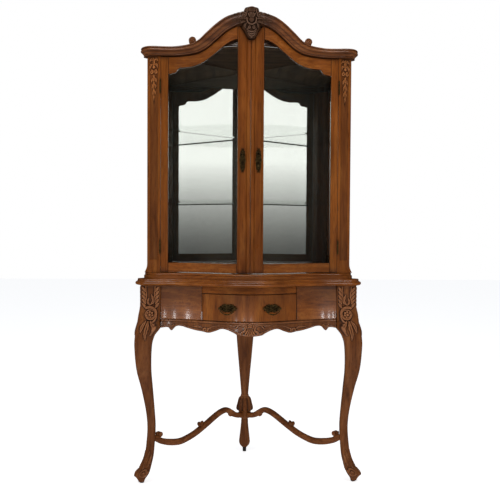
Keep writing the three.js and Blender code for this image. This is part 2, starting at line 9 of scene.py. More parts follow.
import bpy
import numpy as np
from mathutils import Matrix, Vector


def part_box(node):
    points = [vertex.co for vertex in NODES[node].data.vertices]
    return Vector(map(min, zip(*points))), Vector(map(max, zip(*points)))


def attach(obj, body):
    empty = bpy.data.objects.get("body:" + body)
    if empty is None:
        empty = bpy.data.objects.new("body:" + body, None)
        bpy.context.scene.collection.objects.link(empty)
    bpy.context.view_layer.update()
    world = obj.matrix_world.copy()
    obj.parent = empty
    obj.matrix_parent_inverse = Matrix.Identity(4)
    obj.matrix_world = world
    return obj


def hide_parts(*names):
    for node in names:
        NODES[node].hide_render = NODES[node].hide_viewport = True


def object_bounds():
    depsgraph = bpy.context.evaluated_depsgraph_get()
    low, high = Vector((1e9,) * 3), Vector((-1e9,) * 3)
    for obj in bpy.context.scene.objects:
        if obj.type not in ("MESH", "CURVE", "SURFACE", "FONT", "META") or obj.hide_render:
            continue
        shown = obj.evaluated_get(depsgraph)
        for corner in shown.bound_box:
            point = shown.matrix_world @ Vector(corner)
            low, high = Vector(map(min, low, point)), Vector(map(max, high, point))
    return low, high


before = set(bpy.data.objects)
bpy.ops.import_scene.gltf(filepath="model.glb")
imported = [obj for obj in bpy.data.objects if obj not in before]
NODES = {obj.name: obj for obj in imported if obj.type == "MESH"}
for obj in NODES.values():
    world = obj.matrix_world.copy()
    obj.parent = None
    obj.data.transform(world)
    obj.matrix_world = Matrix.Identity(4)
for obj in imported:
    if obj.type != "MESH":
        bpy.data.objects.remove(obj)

CAD_LOW, CAD_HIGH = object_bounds()
MM = 0.001


def box_mm(node):
    low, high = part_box(node)
    return np.array(low) / MM, np.array(high) / MM


# ---- driving dimensions, in millimetres ----
DEPTH = (CAD_HIGH.y - CAD_LOW.y) / MM
STAND_LOW, STAND_HIGH = box_mm("stand_top")
BASE_LOW, BASE_HIGH = box_mm("cabinet_base")
FRIEZE_BOTTOM = box_mm("back_rail_left")[0][2]
STAND_SHAPE = (536, 114, 370)  # front of the stand top: depth at the sides, rise, half wave
DOOR_SHAPE = (497, 99, 345)  # front of the doors
DOOR_THICK = 24
GAP = 0.4
PLAY = 1.5
WALL_CLEARANCE = 3
STAND_INSET = 28
FRIEZE_BULGE = 8
FRIEZE_THICK = 20
DRAWER_HALF = 200
BASE_OVERHANG = 20
CORNICE_OVERHANG = 30
CORNICE_TIP = 466
CORNICE_DEEP = 75
PANE_INNER, PANE_OUTER, PANE_BOTTOM = 54.6, 347, 942
STRIP_HALF, STRIP_RISE = 16, 8
FOOT_X, FOOT_DEPTH = 455, 514
CASE_SIDE, CASE_SIDE_DEPTH, CASE_FOOT = 438, 469.4, 11
TOP_BOARD = 1852
CURL_X, CURL_UP = 244, 12
BACK_LEG_DEPTH = 52
LOCK_X, LOCK_Z = 33, 1400
HANDLE_X, HANDLE_Z, HANDLE_REACH, HANDLE_POST = 91, 759, 16, 33


def bow(x, shape):
    sides, rise, half_wave = shape
    return sides + rise / 2 * (1 + np.cos(np.pi * np.asarray(x, float) / half_wave))


def stand_front(x):
    return bow(x, STAND_SHAPE)


def door_front(x):
    return bow(x, DOOR_SHAPE)


def frieze_front(x, z):
    up = np.clip((z - FRIEZE_BOTTOM) / (STAND_LOW[2] - FRIEZE_BOTTOM), 0, 1)
    return stand_front(x) - STAND_INSET + FRIEZE_BULGE * np.cos(np.pi / 2 * up)


def curve_through(*points):
    """A smooth, symmetric curve through (distance from the middle, value) points."""
    xs, ys = np.array(points, float).T
    slopes = np.zeros(len(xs))
    slopes[1:-1] = (ys[2:] - ys[:-2]) / (xs[2:] - xs[:-2])

    def value(x):
        t = np.clip(np.abs(np.asarray(x, float)), xs[0], xs[-1])
        i = np.clip(np.searchsorted(xs, t, side="right") - 1, 0, len(xs) - 2)
        width = xs[i + 1] - xs[i]
        s = (t - xs[i]) / width
        ease = s * s * (3 - 2 * s)
        bend = slopes[i] * s * (1 - s) ** 2 - slopes[i + 1] * s * s * (1 - s)
        return ys[i] + (ys[i + 1] - ys[i]) * ease + width * bend

    return value


cornice_top = curve_through(
    (0, 1978), (42, 1975), (67, 1970), (105, 1959), (144, 1936), (183, 1905), (220, 1874), (256, 1860),
    (300, 1854), (330, 1852), (480, 1852),
)
cornice_under = curve_through(
    (0, 1932), (42, 1929), (67, 1923), (105, 1903), (144, 1872), (183, 1842),
    (220, 1826), (256, 1820), (300, 1817), (330, 1816), (480, 1816),
)
pendant_edge = curve_through((0, 1867), (9, 1869), (15, 1874), (22, 1885), (31, 1904), (42, 1919), (54, 1932))
crest_top = curve_through((0, 1996), (14, 1994), (27, 1990), (40, 1982), (60, 1975), (78, 1968), (95, 1961))
crest_under = curve_through((0, 1918), (46, 1918), (60, 1926), (95, 1938))
pane_top = curve_through(
    (54, 1872), (72, 1869), (105, 1853), (138, 1828), (171, 1804), (211, 1781),
    (252, 1770), (285, 1768), (303, 1765), (313, 1750), (330, 1745), (347, 1741),
)
apron_edge = curve_through(
    (0, 642), (50, 647), (64, 655), (91, 667), (117, 671), (145, 660), (171, 652), (200, 656),
    (226, 659), (261, 667), (288, 674), (310, 672), (330, 654), (344, 667), (376, 665),
)
leg_middle = curve_through(
    (5, 456), (22, 456), (38, 455.4), (52, 447), (64, 440.5), (104, 427.5), (151, 421.3), (232, 416.7), (306, 421.8),
    (400, 433.9), (489, 446.9), (590, 449.5), (630, 443), (647, 436), (664, 428), (692, 424.4), (711, 422.5),
    (749, 418.8), (846, 418.8),
)
leg_width = curve_through(
    (5, 24), (20, 36), (38, 59), (52, 55), (62, 48.5), (104, 39.4), (151, 35.8), (232, 34.5), (306, 36.8), (400, 47),
    (489, 61), (590, 72.6), (630, 82), (647, 92), (664, 101), (692, 94.6), (711, 90), (749, 84.4), (846, 84.4),
)
back_leg_half = curve_through(
    (22, 14), (32, 22), (44, 27), (56, 27), (110, 21), (153, 17), (164, 18), (167, 30), (199, 30), (203, 38),
    (214, 41), (240, 35), (262, 29), (271, 20), (286, 17.5), (560, 40.5), (640, 42), (846, 42),
)
stretcher_height = curve_through(
    (0, 178), (0.08, 157), (0.16, 143), (0.26, 134), (0.33, 137), (0.44, 152), (0.56, 179), (0.68, 209), (0.75, 222),
    (0.81, 224), (0.86, 210), (0.92, 190), (1, 183),
)


# ---- camera and light ----
CAMERA_X, CAMERA_DEPTH, CAMERA_Z = -134, 3926, 1117
CAMERA_PITCH, CAMERA_YAW, CAMERA_ROLL = -2.0, -2.29, -0.33
FOCAL, SENSOR = 57.7, 36


def make_camera():
    data = bpy.data.cameras.new("camera")
    data.lens, data.sensor_width = FOCAL, SENSOR
    data.clip_end = 100
    camera = bpy.data.objects.new("camera", data)
    camera.location = (CAMERA_X * MM, (DEPTH / 2 - CAMERA_DEPTH) * MM, CAMERA_Z * MM)
    angles = (90 + CAMERA_PITCH, CAMERA_ROLL, CAMERA_YAW)
    camera.rotation_euler = [math.radians(a) for a in angles]
    bpy.context.scene.collection.objects.link(camera)
    bpy.context.scene.camera = camera


def area_light(name, place, target, size, power, seen_by="both"):
    """A soft lamp. seen_by picks whether it lights surfaces, shows as their shine, or does both."""
    data = bpy.data.lights.new(name, "AREA")
    data.shape = "RECTANGLE"
    data.size, data.size_y = size
    data.energy = power
    light = bpy.data.objects.new(name, data)
    light.location = place
    light.rotation_euler = (Vector(target) - Vector(place)).to_track_quat("-Z", "Y").to_euler()
    light.visible_camera = False
    light.visible_diffuse = seen_by != "shine"
    light.visible_glossy = seen_by != "body"
    bpy.context.scene.collection.objects.link(light)
    return light


STRIP_AWAY = 2.6
PANEL_STRIPS = (-48.4, -33, -17, 20, 27.4, 37.5)  # bearings from straight ahead, in degrees
DRAWER_STRIPS = (-24, -9.5, 4.4)
STRIP_POWER = 13  # watts for each metre of a strip


def make_lights():
    area_light("key_left", (-2.3, -2.9, 3.3), (0, 0, 1.0), (1.5, 1.5), 44, "body")
    area_light("key_right", (2.1, -3.0, 3.2), (0, 0, 1.0), (1.5, 1.5), 40, "body")
    area_light("top", (0, -0.9, 4.2), (0, 0, 0), (3.5, 3.0), 28, "body")
    bar = area_light("bar", (-0.1, -3.4, 3.1), (0, 0, 1.0), (4.2, 1.1), 120, "shine")
    strips = [(bearing, 0.45, 0.27) for bearing in PANEL_STRIPS]
    strips += [(bearing, 0.36, 0.14) for bearing in DRAWER_STRIPS]
    made = []
    for k, (bearing, height, tall) in enumerate(strips):
        turn = math.radians(bearing)
        place = (STRIP_AWAY * math.sin(turn), -0.2 - STRIP_AWAY * math.cos(turn), height)
        target = (0, -0.2, height + 0.03)
        made.append(area_light(f"strip_{k}", place, target, (0.10, tall), STRIP_POWER * tall, "shine"))
    return bar, made


def light_only(source, pieces):
    """Lets a lamp or a glowing card reach only the given pieces."""
    chosen = bpy.data.collections.new(source.name + "_reach")
    for piece in pieces:
        chosen.objects.link(piece)
    source.light_linking.receiver_collection = chosen


# ---- node helpers ----
class Nodes:
    """Builds a material's node tree with short calls."""

    def __init__(self, tree):
        self.tree = tree
        tree.nodes.clear()

    def add(self, kind, inputs=None, **settings):
        node = self.tree.nodes.new(kind)
        for key, value in settings.items():
            setattr(node, key, value)
        for key, value in (inputs or {}).items():
            socket = node.inputs[key]
            if isinstance(value, bpy.types.NodeSocket):
                self.tree.links.new(value, socket)
            else:
                socket.default_value = value
        return node

    def ramp(self, factor, *stops):
        node = self.add("ShaderNodeValToRGB", {0: factor})
        elements = node.color_ramp.elements
        while len(elements) < len(stops):
            elements.new(0.5)
        for element, (place, colour) in zip(elements, stops):
            element.position = place
            element.color = (*colour, 1) if isinstance(colour, tuple) else (colour, colour, colour, 1)
        return node.outputs[0]

    def mix(self, factor, a, b, blend="MIX"):
        node = self.add("ShaderNodeMix", data_type="RGBA", blend_type=blend)
        for socket, value in ((node.inputs[0], factor), (node.inputs[6], a), (node.inputs[7], b)):
            if isinstance(value, bpy.types.NodeSocket):
                self.tree.links.new(value, socket)
            else:
                socket.default_value = (*value, 1) if isinstance(value, tuple) else value
        return node.outputs[2]

    def math(self, operation, a, b=0.0):
        return self.add("ShaderNodeMath", {0: a, 1: b}, operation=operation).outputs[0]

    def noise(self, vector, scale, detail=4, roughness=0.55, distortion=0.0):
        inputs = {"Vector": vector, "Scale": scale, "Detail": detail}
        inputs |= {"Roughness": roughness, "Distortion": distortion}
        return self.add("ShaderNodeTexNoise", inputs).outputs[0]

    def stretched(self, vector, scale, turn=(0, 0, 0)):
        return self.add("ShaderNodeMapping", {"Vector": vector, "Scale": scale, "Rotation": turn}).outputs[0]


def new_material(name):
    material = bpy.data.materials.new(name)
    material.use_nodes = True
    nodes = Nodes(material.node_tree)
    return material, nodes


GRAIN = {"up": (26, 26, 1.6), "across": (1.6, 26, 26), "forward": (26, 1.6, 26)}


def wood(name, grain, dark, middle, light, gloss=0.32, coat=0.35, figure=0.5):
    """Varnished wood: streaks and pores along the grain, slow drift, dirt with painted shade in carved hollows and
    along edges, and wear with painted highlights on high places.
    """
    material, n = new_material(name)
    place = n.add("ShaderNodeTexCoord").outputs["Object"]
    along = n.stretched(place, GRAIN[grain])
    warp = n.noise(n.stretched(place, (3, 3, 1.2)), 2.2, 3)
    streaks = n.noise(along, 1.6, 6, 0.62, 0.9)
    bands = n.noise(n.stretched(along, (0.35, 0.35, 0.7)), 2.4, 3, 0.5, 1.6)
    shade = n.mix(figure, streaks, bands)
    colour = n.ramp(shade, (0.30, dark), (0.5, middle), (0.70, light))
    drift = n.ramp(warp, (0.35, 0.72), (0.65, 1.12))
    colour = n.mix(0.8, colour, drift, "MULTIPLY")
    pores = n.noise(n.stretched(place, tuple(9 * s for s in GRAIN[grain])), 1.5, 2, 0.5)
    pore_mask = n.ramp(pores, (0.34, 0.0), (0.45, 1.0))
    pore_share = n.math("MULTIPLY", n.math("SUBTRACT", 1.0, pore_mask), 0.45)
    colour = n.mix(pore_share, colour, tuple(c * 0.35 for c in dark))
    # Dirt with painted shade: hollows, grooves and board edges are darkened here.
    cavity = n.add("ShaderNodeAttribute", attribute_name="cavity").outputs["Fac"]
    colour = n.mix(n.math("MULTIPLY", cavity, 0.95), colour, tuple(c * 0.2 for c in dark))
    # Wear with painted highlights: high places of the carving are lightened here.
    wear = n.add("ShaderNodeAttribute", attribute_name="wear").outputs["Fac"]
    colour = n.mix(n.math("MULTIPLY", wear, 0.42), colour, tuple(min(c * 1.9 + 0.05, 1) for c in light))
    rough = n.noise(place, 18, 3)
    rough = n.math("ADD", n.math("MULTIPLY", rough, 0.22), gloss - 0.1)
    rough = n.math("ADD", rough, n.math("MULTIPLY", cavity, 0.3))
    bump_height = n.math("ADD", n.math("MULTIPLY", pore_mask, 0.5), n.math("MULTIPLY", streaks, 0.35))
    bump = n.add("ShaderNodeBump", {"Height": bump_height, "Strength": 0.18, "Distance": 0.0006}).outputs[0]
    shader = n.add("ShaderNodeBsdfPrincipled", {
        "Base Color": colour, "Roughness": rough, "Normal": bump,
        "Coat Weight": coat, "Coat Roughness": 0.12, "IOR": 1.5, "Specular IOR Level": 0.3,
    })
    n.add("ShaderNodeOutputMaterial", {"Surface": shader.outputs[0]})
    return material


def brass(name):
    material, n = new_material(name)
    place = n.add("ShaderNodeTexCoord").outputs["Object"]
    blotch = n.noise(place, 140, 5, 0.6)
    tones = ((0.3, (0.05, 0.03, 0.012)), (0.55, (0.20, 0.125, 0.045)), (0.75, (0.42, 0.29, 0.12)))
    colour = n.ramp(blotch, *tones)
    # Dirt with painted shade darkens the hollows of the cast work.
    cavity = n.add("ShaderNodeAttribute", attribute_name="cavity").outputs["Fac"]
    colour = n.mix(n.math("MULTIPLY", cavity, 0.9), colour, (0.012, 0.008, 0.005))
    rough = n.math("ADD", n.math("MULTIPLY", blotch, 0.35), 0.2)
    bump = n.add("ShaderNodeBump", {"Height": blotch, "Strength": 0.25, "Distance": 0.0004}).outputs[0]
    shader = n.add("ShaderNodeBsdfPrincipled", {
        "Base Color": colour, "Roughness": rough, "Metallic": 0.85, "Normal": bump,
    })
    n.add("ShaderNodeOutputMaterial", {"Surface": shader.outputs[0]})
    return material


def aged_mirror():
    """Old silvering: a greenish-grey haze in long streaks, with small dark spots, over a clear reflection."""
    material, n = new_material("aged_mirror")
    place = n.add("ShaderNodeTexCoord").outputs["Object"]
    streak = n.noise(n.stretched(place, (22, 22, 0.9)), 1.4, 5, 0.6, 0.5)
    cloud = n.noise(n.stretched(place, (1, 1, 0.5)), 12, 6, 0.7, 0.8)
    spots = n.ramp(n.noise(place, 90, 4, 0.7), (0.60, 0.0), (0.70, 1.0))
    veil = n.ramp(n.mix(0.55, streak, cloud), (0.3, (0.16, 0.155, 0.115)), (0.7, (0.52, 0.52, 0.43)))
    veil = n.mix(n.math("MULTIPLY", spots, 0.7), veil, (0.05, 0.035, 0.025))
    haze = n.add("ShaderNodeBsdfDiffuse", {"Color": veil, "Roughness": 0.6})
    tint = n.mix(n.math("MULTIPLY", spots, 0.25), (0.93, 0.94, 0.92), (0.5, 0.48, 0.42))
    bump = n.add("ShaderNodeBump", {"Height": cloud, "Strength": 0.02, "Distance": 0.001}).outputs[0]
    clear = n.add("ShaderNodeBsdfGlossy", {"Color": tint, "Roughness": 0.01, "Normal": bump})
    shader = n.add("ShaderNodeMixShader", {0: 0.10, 1: clear.outputs[0], 2: haze.outputs[0]})
    n.add("ShaderNodeOutputMaterial", {"Surface": shader.outputs[0]})
    return material


def clear_glass(name, glint, clear):
    """Thin old glass: it lets light straight through, and mirrors a little, with a faint wave in it."""
    material, n = new_material(name)
    place = n.add("ShaderNodeTexCoord").outputs["Object"]
    wave = n.noise(n.stretched(place, (1, 1, 0.6)), 7, 2)
    bump = n.add("ShaderNodeBump", {"Height": wave, "Strength": 0.12, "Distance": 0.004}).outputs[0]
    glare = n.add("ShaderNodeBsdfGlossy", {"Color": (1, 1, 1, 1), "Roughness": 0.02, "Normal": bump})
    through = n.add("ShaderNodeBsdfTransparent", {"Color": (clear, clear + 0.006, clear, 1)})
    fresnel = n.add("ShaderNodeFresnel", {"IOR": 1.45, "Normal": bump}).outputs[0]
    share = n.math("MULTIPLY", fresnel, glint)
    shader = n.add("ShaderNodeMixShader", {0: share, 1: through.outputs[0], 2: glare.outputs[0]})
    n.add("ShaderNodeOutputMaterial", {"Surface": shader.outputs[0]})
    return material


def matt(name, colour, rough=0.7):
    material, n = new_material(name)
    place = n.add("ShaderNodeTexCoord").outputs["Object"]
    grit = n.noise(place, 260, 4)
    shade = n.mix(grit, tuple(c * 0.6 for c in colour), tuple(min(c * 1.4, 1) for c in colour))
    bump = n.add("ShaderNodeBump", {"Height": grit, "Strength": 0.3, "Distance": 0.0004}).outputs[0]
    shader = n.add("ShaderNodeBsdfPrincipled", {"Base Color": shade, "Roughness": rough, "Normal": bump})
    n.add("ShaderNodeOutputMaterial", {"Surface": shader.outputs[0]})
    return material


WALNUT = ((0.10, 0.024, 0.0025), (0.20, 0.054, 0.006), (0.29, 0.095, 0.014))
STILE_WOOD = ((0.085, 0.020, 0.002), (0.165, 0.043, 0.005), (0.25, 0.080, 0.012))
LEG_WOOD = ((0.070, 0.019, 0.004), (0.15, 0.045, 0.010), (0.24, 0.085, 0.022))
CARVED_WOOD = ((0.024, 0.009, 0.003), (0.062, 0.024, 0.009), (0.15, 0.072, 0.036))
INNER_WOOD = ((0.06, 0.032, 0.015), (0.13, 0.074, 0.038), (0.22, 0.135, 0.075))
OAK = ((0.20, 0.12, 0.055), (0.36, 0.24, 0.12), (0.50, 0.36, 0.20))

MATERIALS = {
    "walnut_up": wood("walnut_up", "up", *WALNUT),
    "walnut_across": wood("walnut_across", "across", *WALNUT),
    "stile_wood": wood("stile_wood", "up", *STILE_WOOD),
    "leg_wood": wood("leg_wood", "up", *LEG_WOOD, gloss=0.34, coat=0.3),
    "cornice_wood": wood("cornice_wood", "across", *LEG_WOOD, gloss=0.34, coat=0.3),
    "stretcher_wood": wood("stretcher_wood", "forward", *LEG_WOOD, gloss=0.36, coat=0.25),
    "carving": wood("carving", "up", *CARVED_WOOD, gloss=0.42, coat=0.15),
    "inner_up": wood("inner_up", "up", *INNER_WOOD, gloss=0.6, coat=0.0),
    "inner_across": wood("inner_across", "across", *INNER_WOOD, gloss=0.6, coat=0.0),
    "oak": wood("oak", "forward", *OAK, gloss=0.62, coat=0.0),
    "brass": brass("old_brass"),
    "mirror": aged_mirror(),
    "glass": clear_glass("pane_glass", 0.8, 0.982),
    "shelf_glass": clear_glass("shelf_glass", 0.1, 0.993),
    "pad": matt("dark_pad", (0.02, 0.016, 0.013)),
}


# ---- mesh helpers ----
def row(x, depth, z):
    """Plan places in millimetres, as points of the row frame, still in millimetres."""
    x, depth, z = np.broadcast_arrays(np.asarray(x, float), np.asarray(depth, float), np.asarray(z, float))
    return np.stack([x, DEPTH / 2 - depth, z], -1)


def enclosed(points, faces):
    """Six times the volume inside the faces; negative when they face inwards."""
    total = 0.0
    for size in {len(f) for f in faces}:
        block = np.array([f for f in faces if len(f) == size])
        corner = points[block]
        for k in range(1, size - 1):
            total += np.einsum("ij,ij->", corner[:, 0], np.cross(corner[:, k], corner[:, k + 1]))
    return total


def make_piece(name, points, faces, body, material, slot, nodes=(), smooth=38, mirrored=False, marks=None):
    """Makes one visible piece from points in millimetres, and hands it to the frame."""
    points = np.array(points, float).reshape(-1, 3)
    if mirrored:
        points = points * (-1, 1, 1)
    if enclosed(points, faces) < 0:
        faces = [tuple(reversed(f)) for f in faces]
    mesh = bpy.data.meshes.new(name)
    mesh.from_pydata((points * MM).tolist(), [], [tuple(int(i) for i in f) for f in faces])
    # Per-point marks: dirt with painted shade, and wear with painted highlights.
    for mark in ("cavity", "wear"):
        values = (marks or {}).get(mark)
        layer = mesh.attributes.new(mark, "FLOAT", "POINT")
        if values is not None:
            values = np.clip(np.asarray(values, float).ravel(), 0, 1)
            layer.data.foreach_set("value", values.astype(np.float32))
    mesh.polygons.foreach_set("use_smooth", [True] * len(mesh.polygons))
    mesh.set_sharp_from_angle(angle=math.radians(smooth))
    mesh.materials.append(MATERIALS[material])
    piece = bpy.data.objects.new(name, mesh)
    bpy.context.scene.collection.objects.link(piece)
    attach(piece, body)
    if nodes:
        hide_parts(*([nodes] if isinstance(nodes, str) else nodes))
    return piece


def loft_faces(count, rings, start=0, close=True):
    """Faces of a solid over `rings` rings of `count` points each, with one flat face over each end."""
    faces = []
    for r in range(rings - 1):
        for k in range(count):
            a = start + r * count + k
            b = start + r * count + (k + 1) % count
            faces.append((a, b, b + count, a + count))
    if close:
        last = start + (rings - 1) * count
        faces.append(tuple(range(start + count - 1, start - 1, -1)))
        faces.append(tuple(range(last, last + count)))
    return faces


def loft(rings):
    rings = np.asarray(rings, float)
    return rings.reshape(-1, 3), loft_faces(rings.shape[1], rings.shape[0])


def grid_solid(front, back):
    """A closed slab between two grids of points of the same shape."""
    n, m = front.shape[:2]
    points = np.concatenate([front.reshape(-1, 3), back.reshape(-1, 3)])
    index = np.arange(n * m).reshape(n, m)
    faces = []
    quads = np.stack([index[:-1, :-1], index[1:, :-1], index[1:, 1:], index[:-1, 1:]], -1).reshape(-1, 4)
    faces += [tuple(q) for q in quads]
    faces += [tuple(q[::-1] + n * m) for q in quads]
    rim = [*index[:, 0], *index[-1, 1:], *index[-2::-1, -1], *index[0, -2:0:-1]]
    for a, b in zip(rim, rim[1:] + rim[:1]):
        faces.append((b, a, a + n * m, b + n * m))
    return points, faces


def join_solids(*solids):
    """Several closed solids as the points and faces of one piece."""
    points, faces, start = [], [], 0
    for p, f in solids:
        p = np.asarray(p, float).reshape(-1, 3)
        if enclosed(p, f) < 0:
            f = [tuple(reversed(face)) for face in f]
        points.append(p)
        faces += [tuple(i + start for i in face) for face in f]
        start += len(p)
    return np.concatenate(points), faces


def tube(path, radius, sides=12, flatten=1.0, side_axis=(0, 1, 0)):
    """A round bar along a path. radius is one number or one per point."""
    path = np.asarray(path, float)
    radius = np.broadcast_to(np.asarray(radius, float), (len(path),))
    tangent = np.gradient(path, axis=0)
    tangent /= np.linalg.norm(tangent, axis=1, keepdims=True)
    across = np.cross(tangent, side_axis)
    across /= np.maximum(np.linalg.norm(across, axis=1, keepdims=True), 1e-9)
    out = np.cross(across, tangent)
    angle = np.linspace(0, 2 * np.pi, sides, endpoint=False)
    ring = across[:, None] * np.cos(angle)[None, :, None] + out[:, None] * np.sin(angle)[None, :, None] * flatten
    return loft(path[:, None] + ring * radius[:, None, None])


def smooth_path(points, count):
    """A Catmull-Rom curve through the points, with `count` places on it."""
    p = np.asarray(points, float)
    p = np.concatenate([[2 * p[0] - p[1]], p, [2 * p[-1] - p[-2]]])
    t = np.linspace(0, len(p) - 3 - 1e-9, count)
    i = t.astype(int)
    s = (t - i)[:, None]
    a, b, c, d = p[i], p[i + 1], p[i + 2], p[i + 3]
    return 0.5 * (2 * b + (c - a) * s + (2 * a - 5 * b + 4 * c - d) * s**2 + (3 * b - a - 3 * c + d) * s**3)


def spiral(x, z, r0, r1, start, end, count=28):
    """A flat scroll about (x, z) from radius r0 to r1, between two angles in degrees."""
    t = np.linspace(0, 1, count)
    angle = np.radians(start + (end - start) * t)
    radius = r0 + (r1 - r0) * t
    return np.stack([x + radius * np.cos(angle), z + radius * np.sin(angle)], -1)


class Relief:
    """Heights over a grid of (x, z) places, built up from carved strokes, all in millimetres."""

    def __init__(self, x, z):
        self.x, self.z = np.broadcast_arrays(np.asarray(x, float), np.asarray(z, float))
        self.height = np.zeros(self.x.shape)

    def put(self, height):
        self.height = np.maximum(self.height, height)

    def stroke(self, path, width, height, groove=0.0, taper=(1, 1)):
        """A rounded ridge along a path, with a groove down its middle if asked. taper scales its two ends."""
        path = np.asarray(path, float)
        share = np.linspace(0, 1, len(path))
        best = np.full(self.x.shape, 9.0)
        scale = np.ones(self.x.shape)
        for (ax, az), (bx, bz), s in zip(path[:-1], path[1:], share):
            dx, dz = bx - ax, bz - az
            t = np.clip(((self.x - ax) * dx + (self.z - az) * dz) / max(dx * dx + dz * dz, 1e-9), 0, 1)
            full = taper[0] + (taper[1] - taper[0]) * s
            near = np.hypot(self.x - ax - t * dx, self.z - az - t * dz) / max(width * full, 1e-6)
            closer = near < best
            best = np.where(closer, near, best)
            scale = np.where(closer, full, scale)
        ridge = np.sqrt(np.clip(1 - best**2, 0, 1)) - groove * np.exp(-((best / 0.3) ** 2))
        self.put(height * scale * ridge)

    def leaf(self, path, width, height, lobes=4):
        """A pointed leaf with a vein and lobed edges, along a path from its stalk to its tip."""
        path = np.asarray(path, float)
        share = np.linspace(0, 1, len(path))
        best = np.full(self.x.shape, 9.0)
        for (ax, az), (bx, bz), s in zip(path[:-1], path[1:], share):
            dx, dz = bx - ax, bz - az
            t = np.clip(((self.x - ax) * dx + (self.z - az) * dz) / max(dx * dx + dz * dz, 1e-9), 0, 1)
            fat = math.sin(math.pi * (0.12 + 0.86 * s)) * (0.78 + 0.22 * abs(math.cos(lobes * math.pi * s)))
            near = np.hypot(self.x - ax - t * dx, self.z - az - t * dz) / max(width * fat, 0.3)
            best = np.minimum(best, near)
        self.put(height * (np.sqrt(np.clip(1 - best**2, 0, 1)) - 0.45 * np.exp(-((best / 0.22) ** 2))))

    def bead(self, x, z, radius, height):
        near = np.hypot(self.x - x, self.z - z) / radius
        self.put(height * np.sqrt(np.clip(1 - near**2, 0, 1)))

    def shell(self, x, z, radius, start, end, flutes, height, inner=0.12):
        """A fan of flutes round (x, z), between two angles in degrees, with a scalloped rim."""
        r = np.hypot(self.x - x, self.z - z) / radius
        angle = np.degrees(np.arctan2(self.z - z, self.x - x))
        angle = np.where(angle < start - 90, angle + 360, angle)
        turn = np.clip((angle - start) / (end - start), 0, 1)
        inside = (angle > start) & (angle < end)
        wave = np.abs(np.sin(np.pi * turn * flutes))
        rim = 0.90 + 0.10 * wave
        body = (0.45 + 0.55 * wave) * np.clip(r / inner, 0, 1) * (0.55 + 0.45 * r)
        edge = np.sqrt(np.clip(1 - (np.clip(r / rim, 0, 1)) ** 8, 0, 1))
        self.put(np.where(inside & (r < rim), height * body * edge, 0))

    def marks(self):
        """Dirt with painted shade in the hollows, and wear with painted highlights on the high places."""
        low = self.height
        blurred = low.copy()
        for _ in range(6):
            padded = np.pad(blurred, 1, mode="edge")
            blurred = (padded[:-2, 1:-1] + padded[2:, 1:-1] + padded[1:-1, :-2] + padded[1:-1, 2:] + blurred) / 5
        hollow = blurred - low
        return {"cavity": np.clip(hollow * 1.5, 0, 1), "wear": np.clip(-hollow * 1.1 - 0.1, 0, 1)}


def with_back(marks, count):
    """Marks for the front grid of a slab, and none for the same number of points behind it."""
    return {k: np.concatenate([v.ravel(), np.zeros(count)]) for k, v in marks.items()}


def arris(distance, radius):
    """How far a rounded edge falls back, at a distance from the edge."""
    short = np.clip(1 - np.asarray(distance, float) / radius, 0, 1)
    return radius * (1 - np.sqrt(1 - short**2))


def spaced(a, b, count, radius=1.0):
    """Places from a to b, closer together at both ends, where an arris is rounded."""
    near = np.array((0, 0.08, 0.3, 0.62)) * radius
    return np.concatenate([a + near, np.linspace(a + radius, b - radius, count), (b - near)[::-1]])


def level(value):
    return lambda x: np.full(np.shape(x), float(value))


SEAM = 1.4  # the width of the dark line of dirt and painted shade along a board's edge


def board(xs, lower, upper, front, back, rows, radius=1.0, carve=None, painted_shade=None):
    """A board with a shaped front and rounded arrises. carve(x, z) gives a Relief, and the last argument, a function
    of (x, z), gives painted shade.
    """
    low, high = lower(xs)[:, None], upper(xs)[:, None]
    near = np.array((0, 0.08, 0.3, 0.62)) * radius
    middle = low + radius + (high - low - 2 * radius) * np.linspace(0, 1, rows)
    z = np.concatenate([low + near, middle, high - near[::-1]], 1)
    x = np.broadcast_to(xs[:, None], z.shape)
    ends = np.minimum(x - xs[0], xs[-1] - x)
    drop = np.maximum(arris(np.minimum(z - low, high - z), radius), arris(ends, radius))
    face = front(x, z) - drop
    within = np.minimum(np.minimum(z - low, high - z), ends)
    # A dark line along every edge: dirt in the joints with painted shade.
    marks = {"cavity": 0.9 * np.clip(1 - within / SEAM, 0, 1)}
    # Painted shade laid over the face, such as the darkening under an overhang.
    if painted_shade:
        marks["cavity"] = np.maximum(marks["cavity"], painted_shade(x, z))
    if carve:
        relief = carve(x, z)
        face = face + relief.height * np.clip(within / 1.5, 0, 1)
        carved = relief.marks()
        marks = {"cavity": np.maximum(marks["cavity"], carved["cavity"]), "wear": carved["wear"]}
    marks = with_back(marks, z.size)
    return *grid_solid(row(x, face, z), row(x, back(x), z)), marks


def add_board(name, body, material, slot, parts, nodes=None, mirrored=False, smooth=38):
    points, faces, marks = parts
    return make_piece(name, points, faces, body, material, slot, nodes or name, smooth, mirrored, marks)


def add_pair(stem, tail, body, material, slot, points, faces, marks=None, smooth=38, nodes=True):
    """The right-hand piece and its mirror image. body may hold {} for the side."""
    for side in ("left", "right"):
        name = f"{stem}{side}{tail}"
        node = name if nodes else ()
        make_piece(name + "_form", points, faces, body.format(side), material, slot, node, smooth, side == "left", marks)


# ---- plan outlines ----
def bezier(start, corner, tip, count):
    t = np.linspace(0, 1, count + 1)[1:, None]
    start, corner, tip = (np.array(p, float) for p in (start, corner, tip))
    return (1 - t) ** 2 * start + 2 * t * (1 - t) * corner + t**2 * tip


def front_path(front, edge, corner, tip, steps=56):
    """The front edge from wall to wall: a bowed front, a turned corner and a tip on the wall."""
    x = np.linspace(0, edge, steps)
    half = np.stack([x, front(x)], -1)
    half = np.concatenate([half, bezier(half[-1], corner, tip, 14)])
    return np.concatenate([(half[1:] * (-1, 1))[::-1], half])


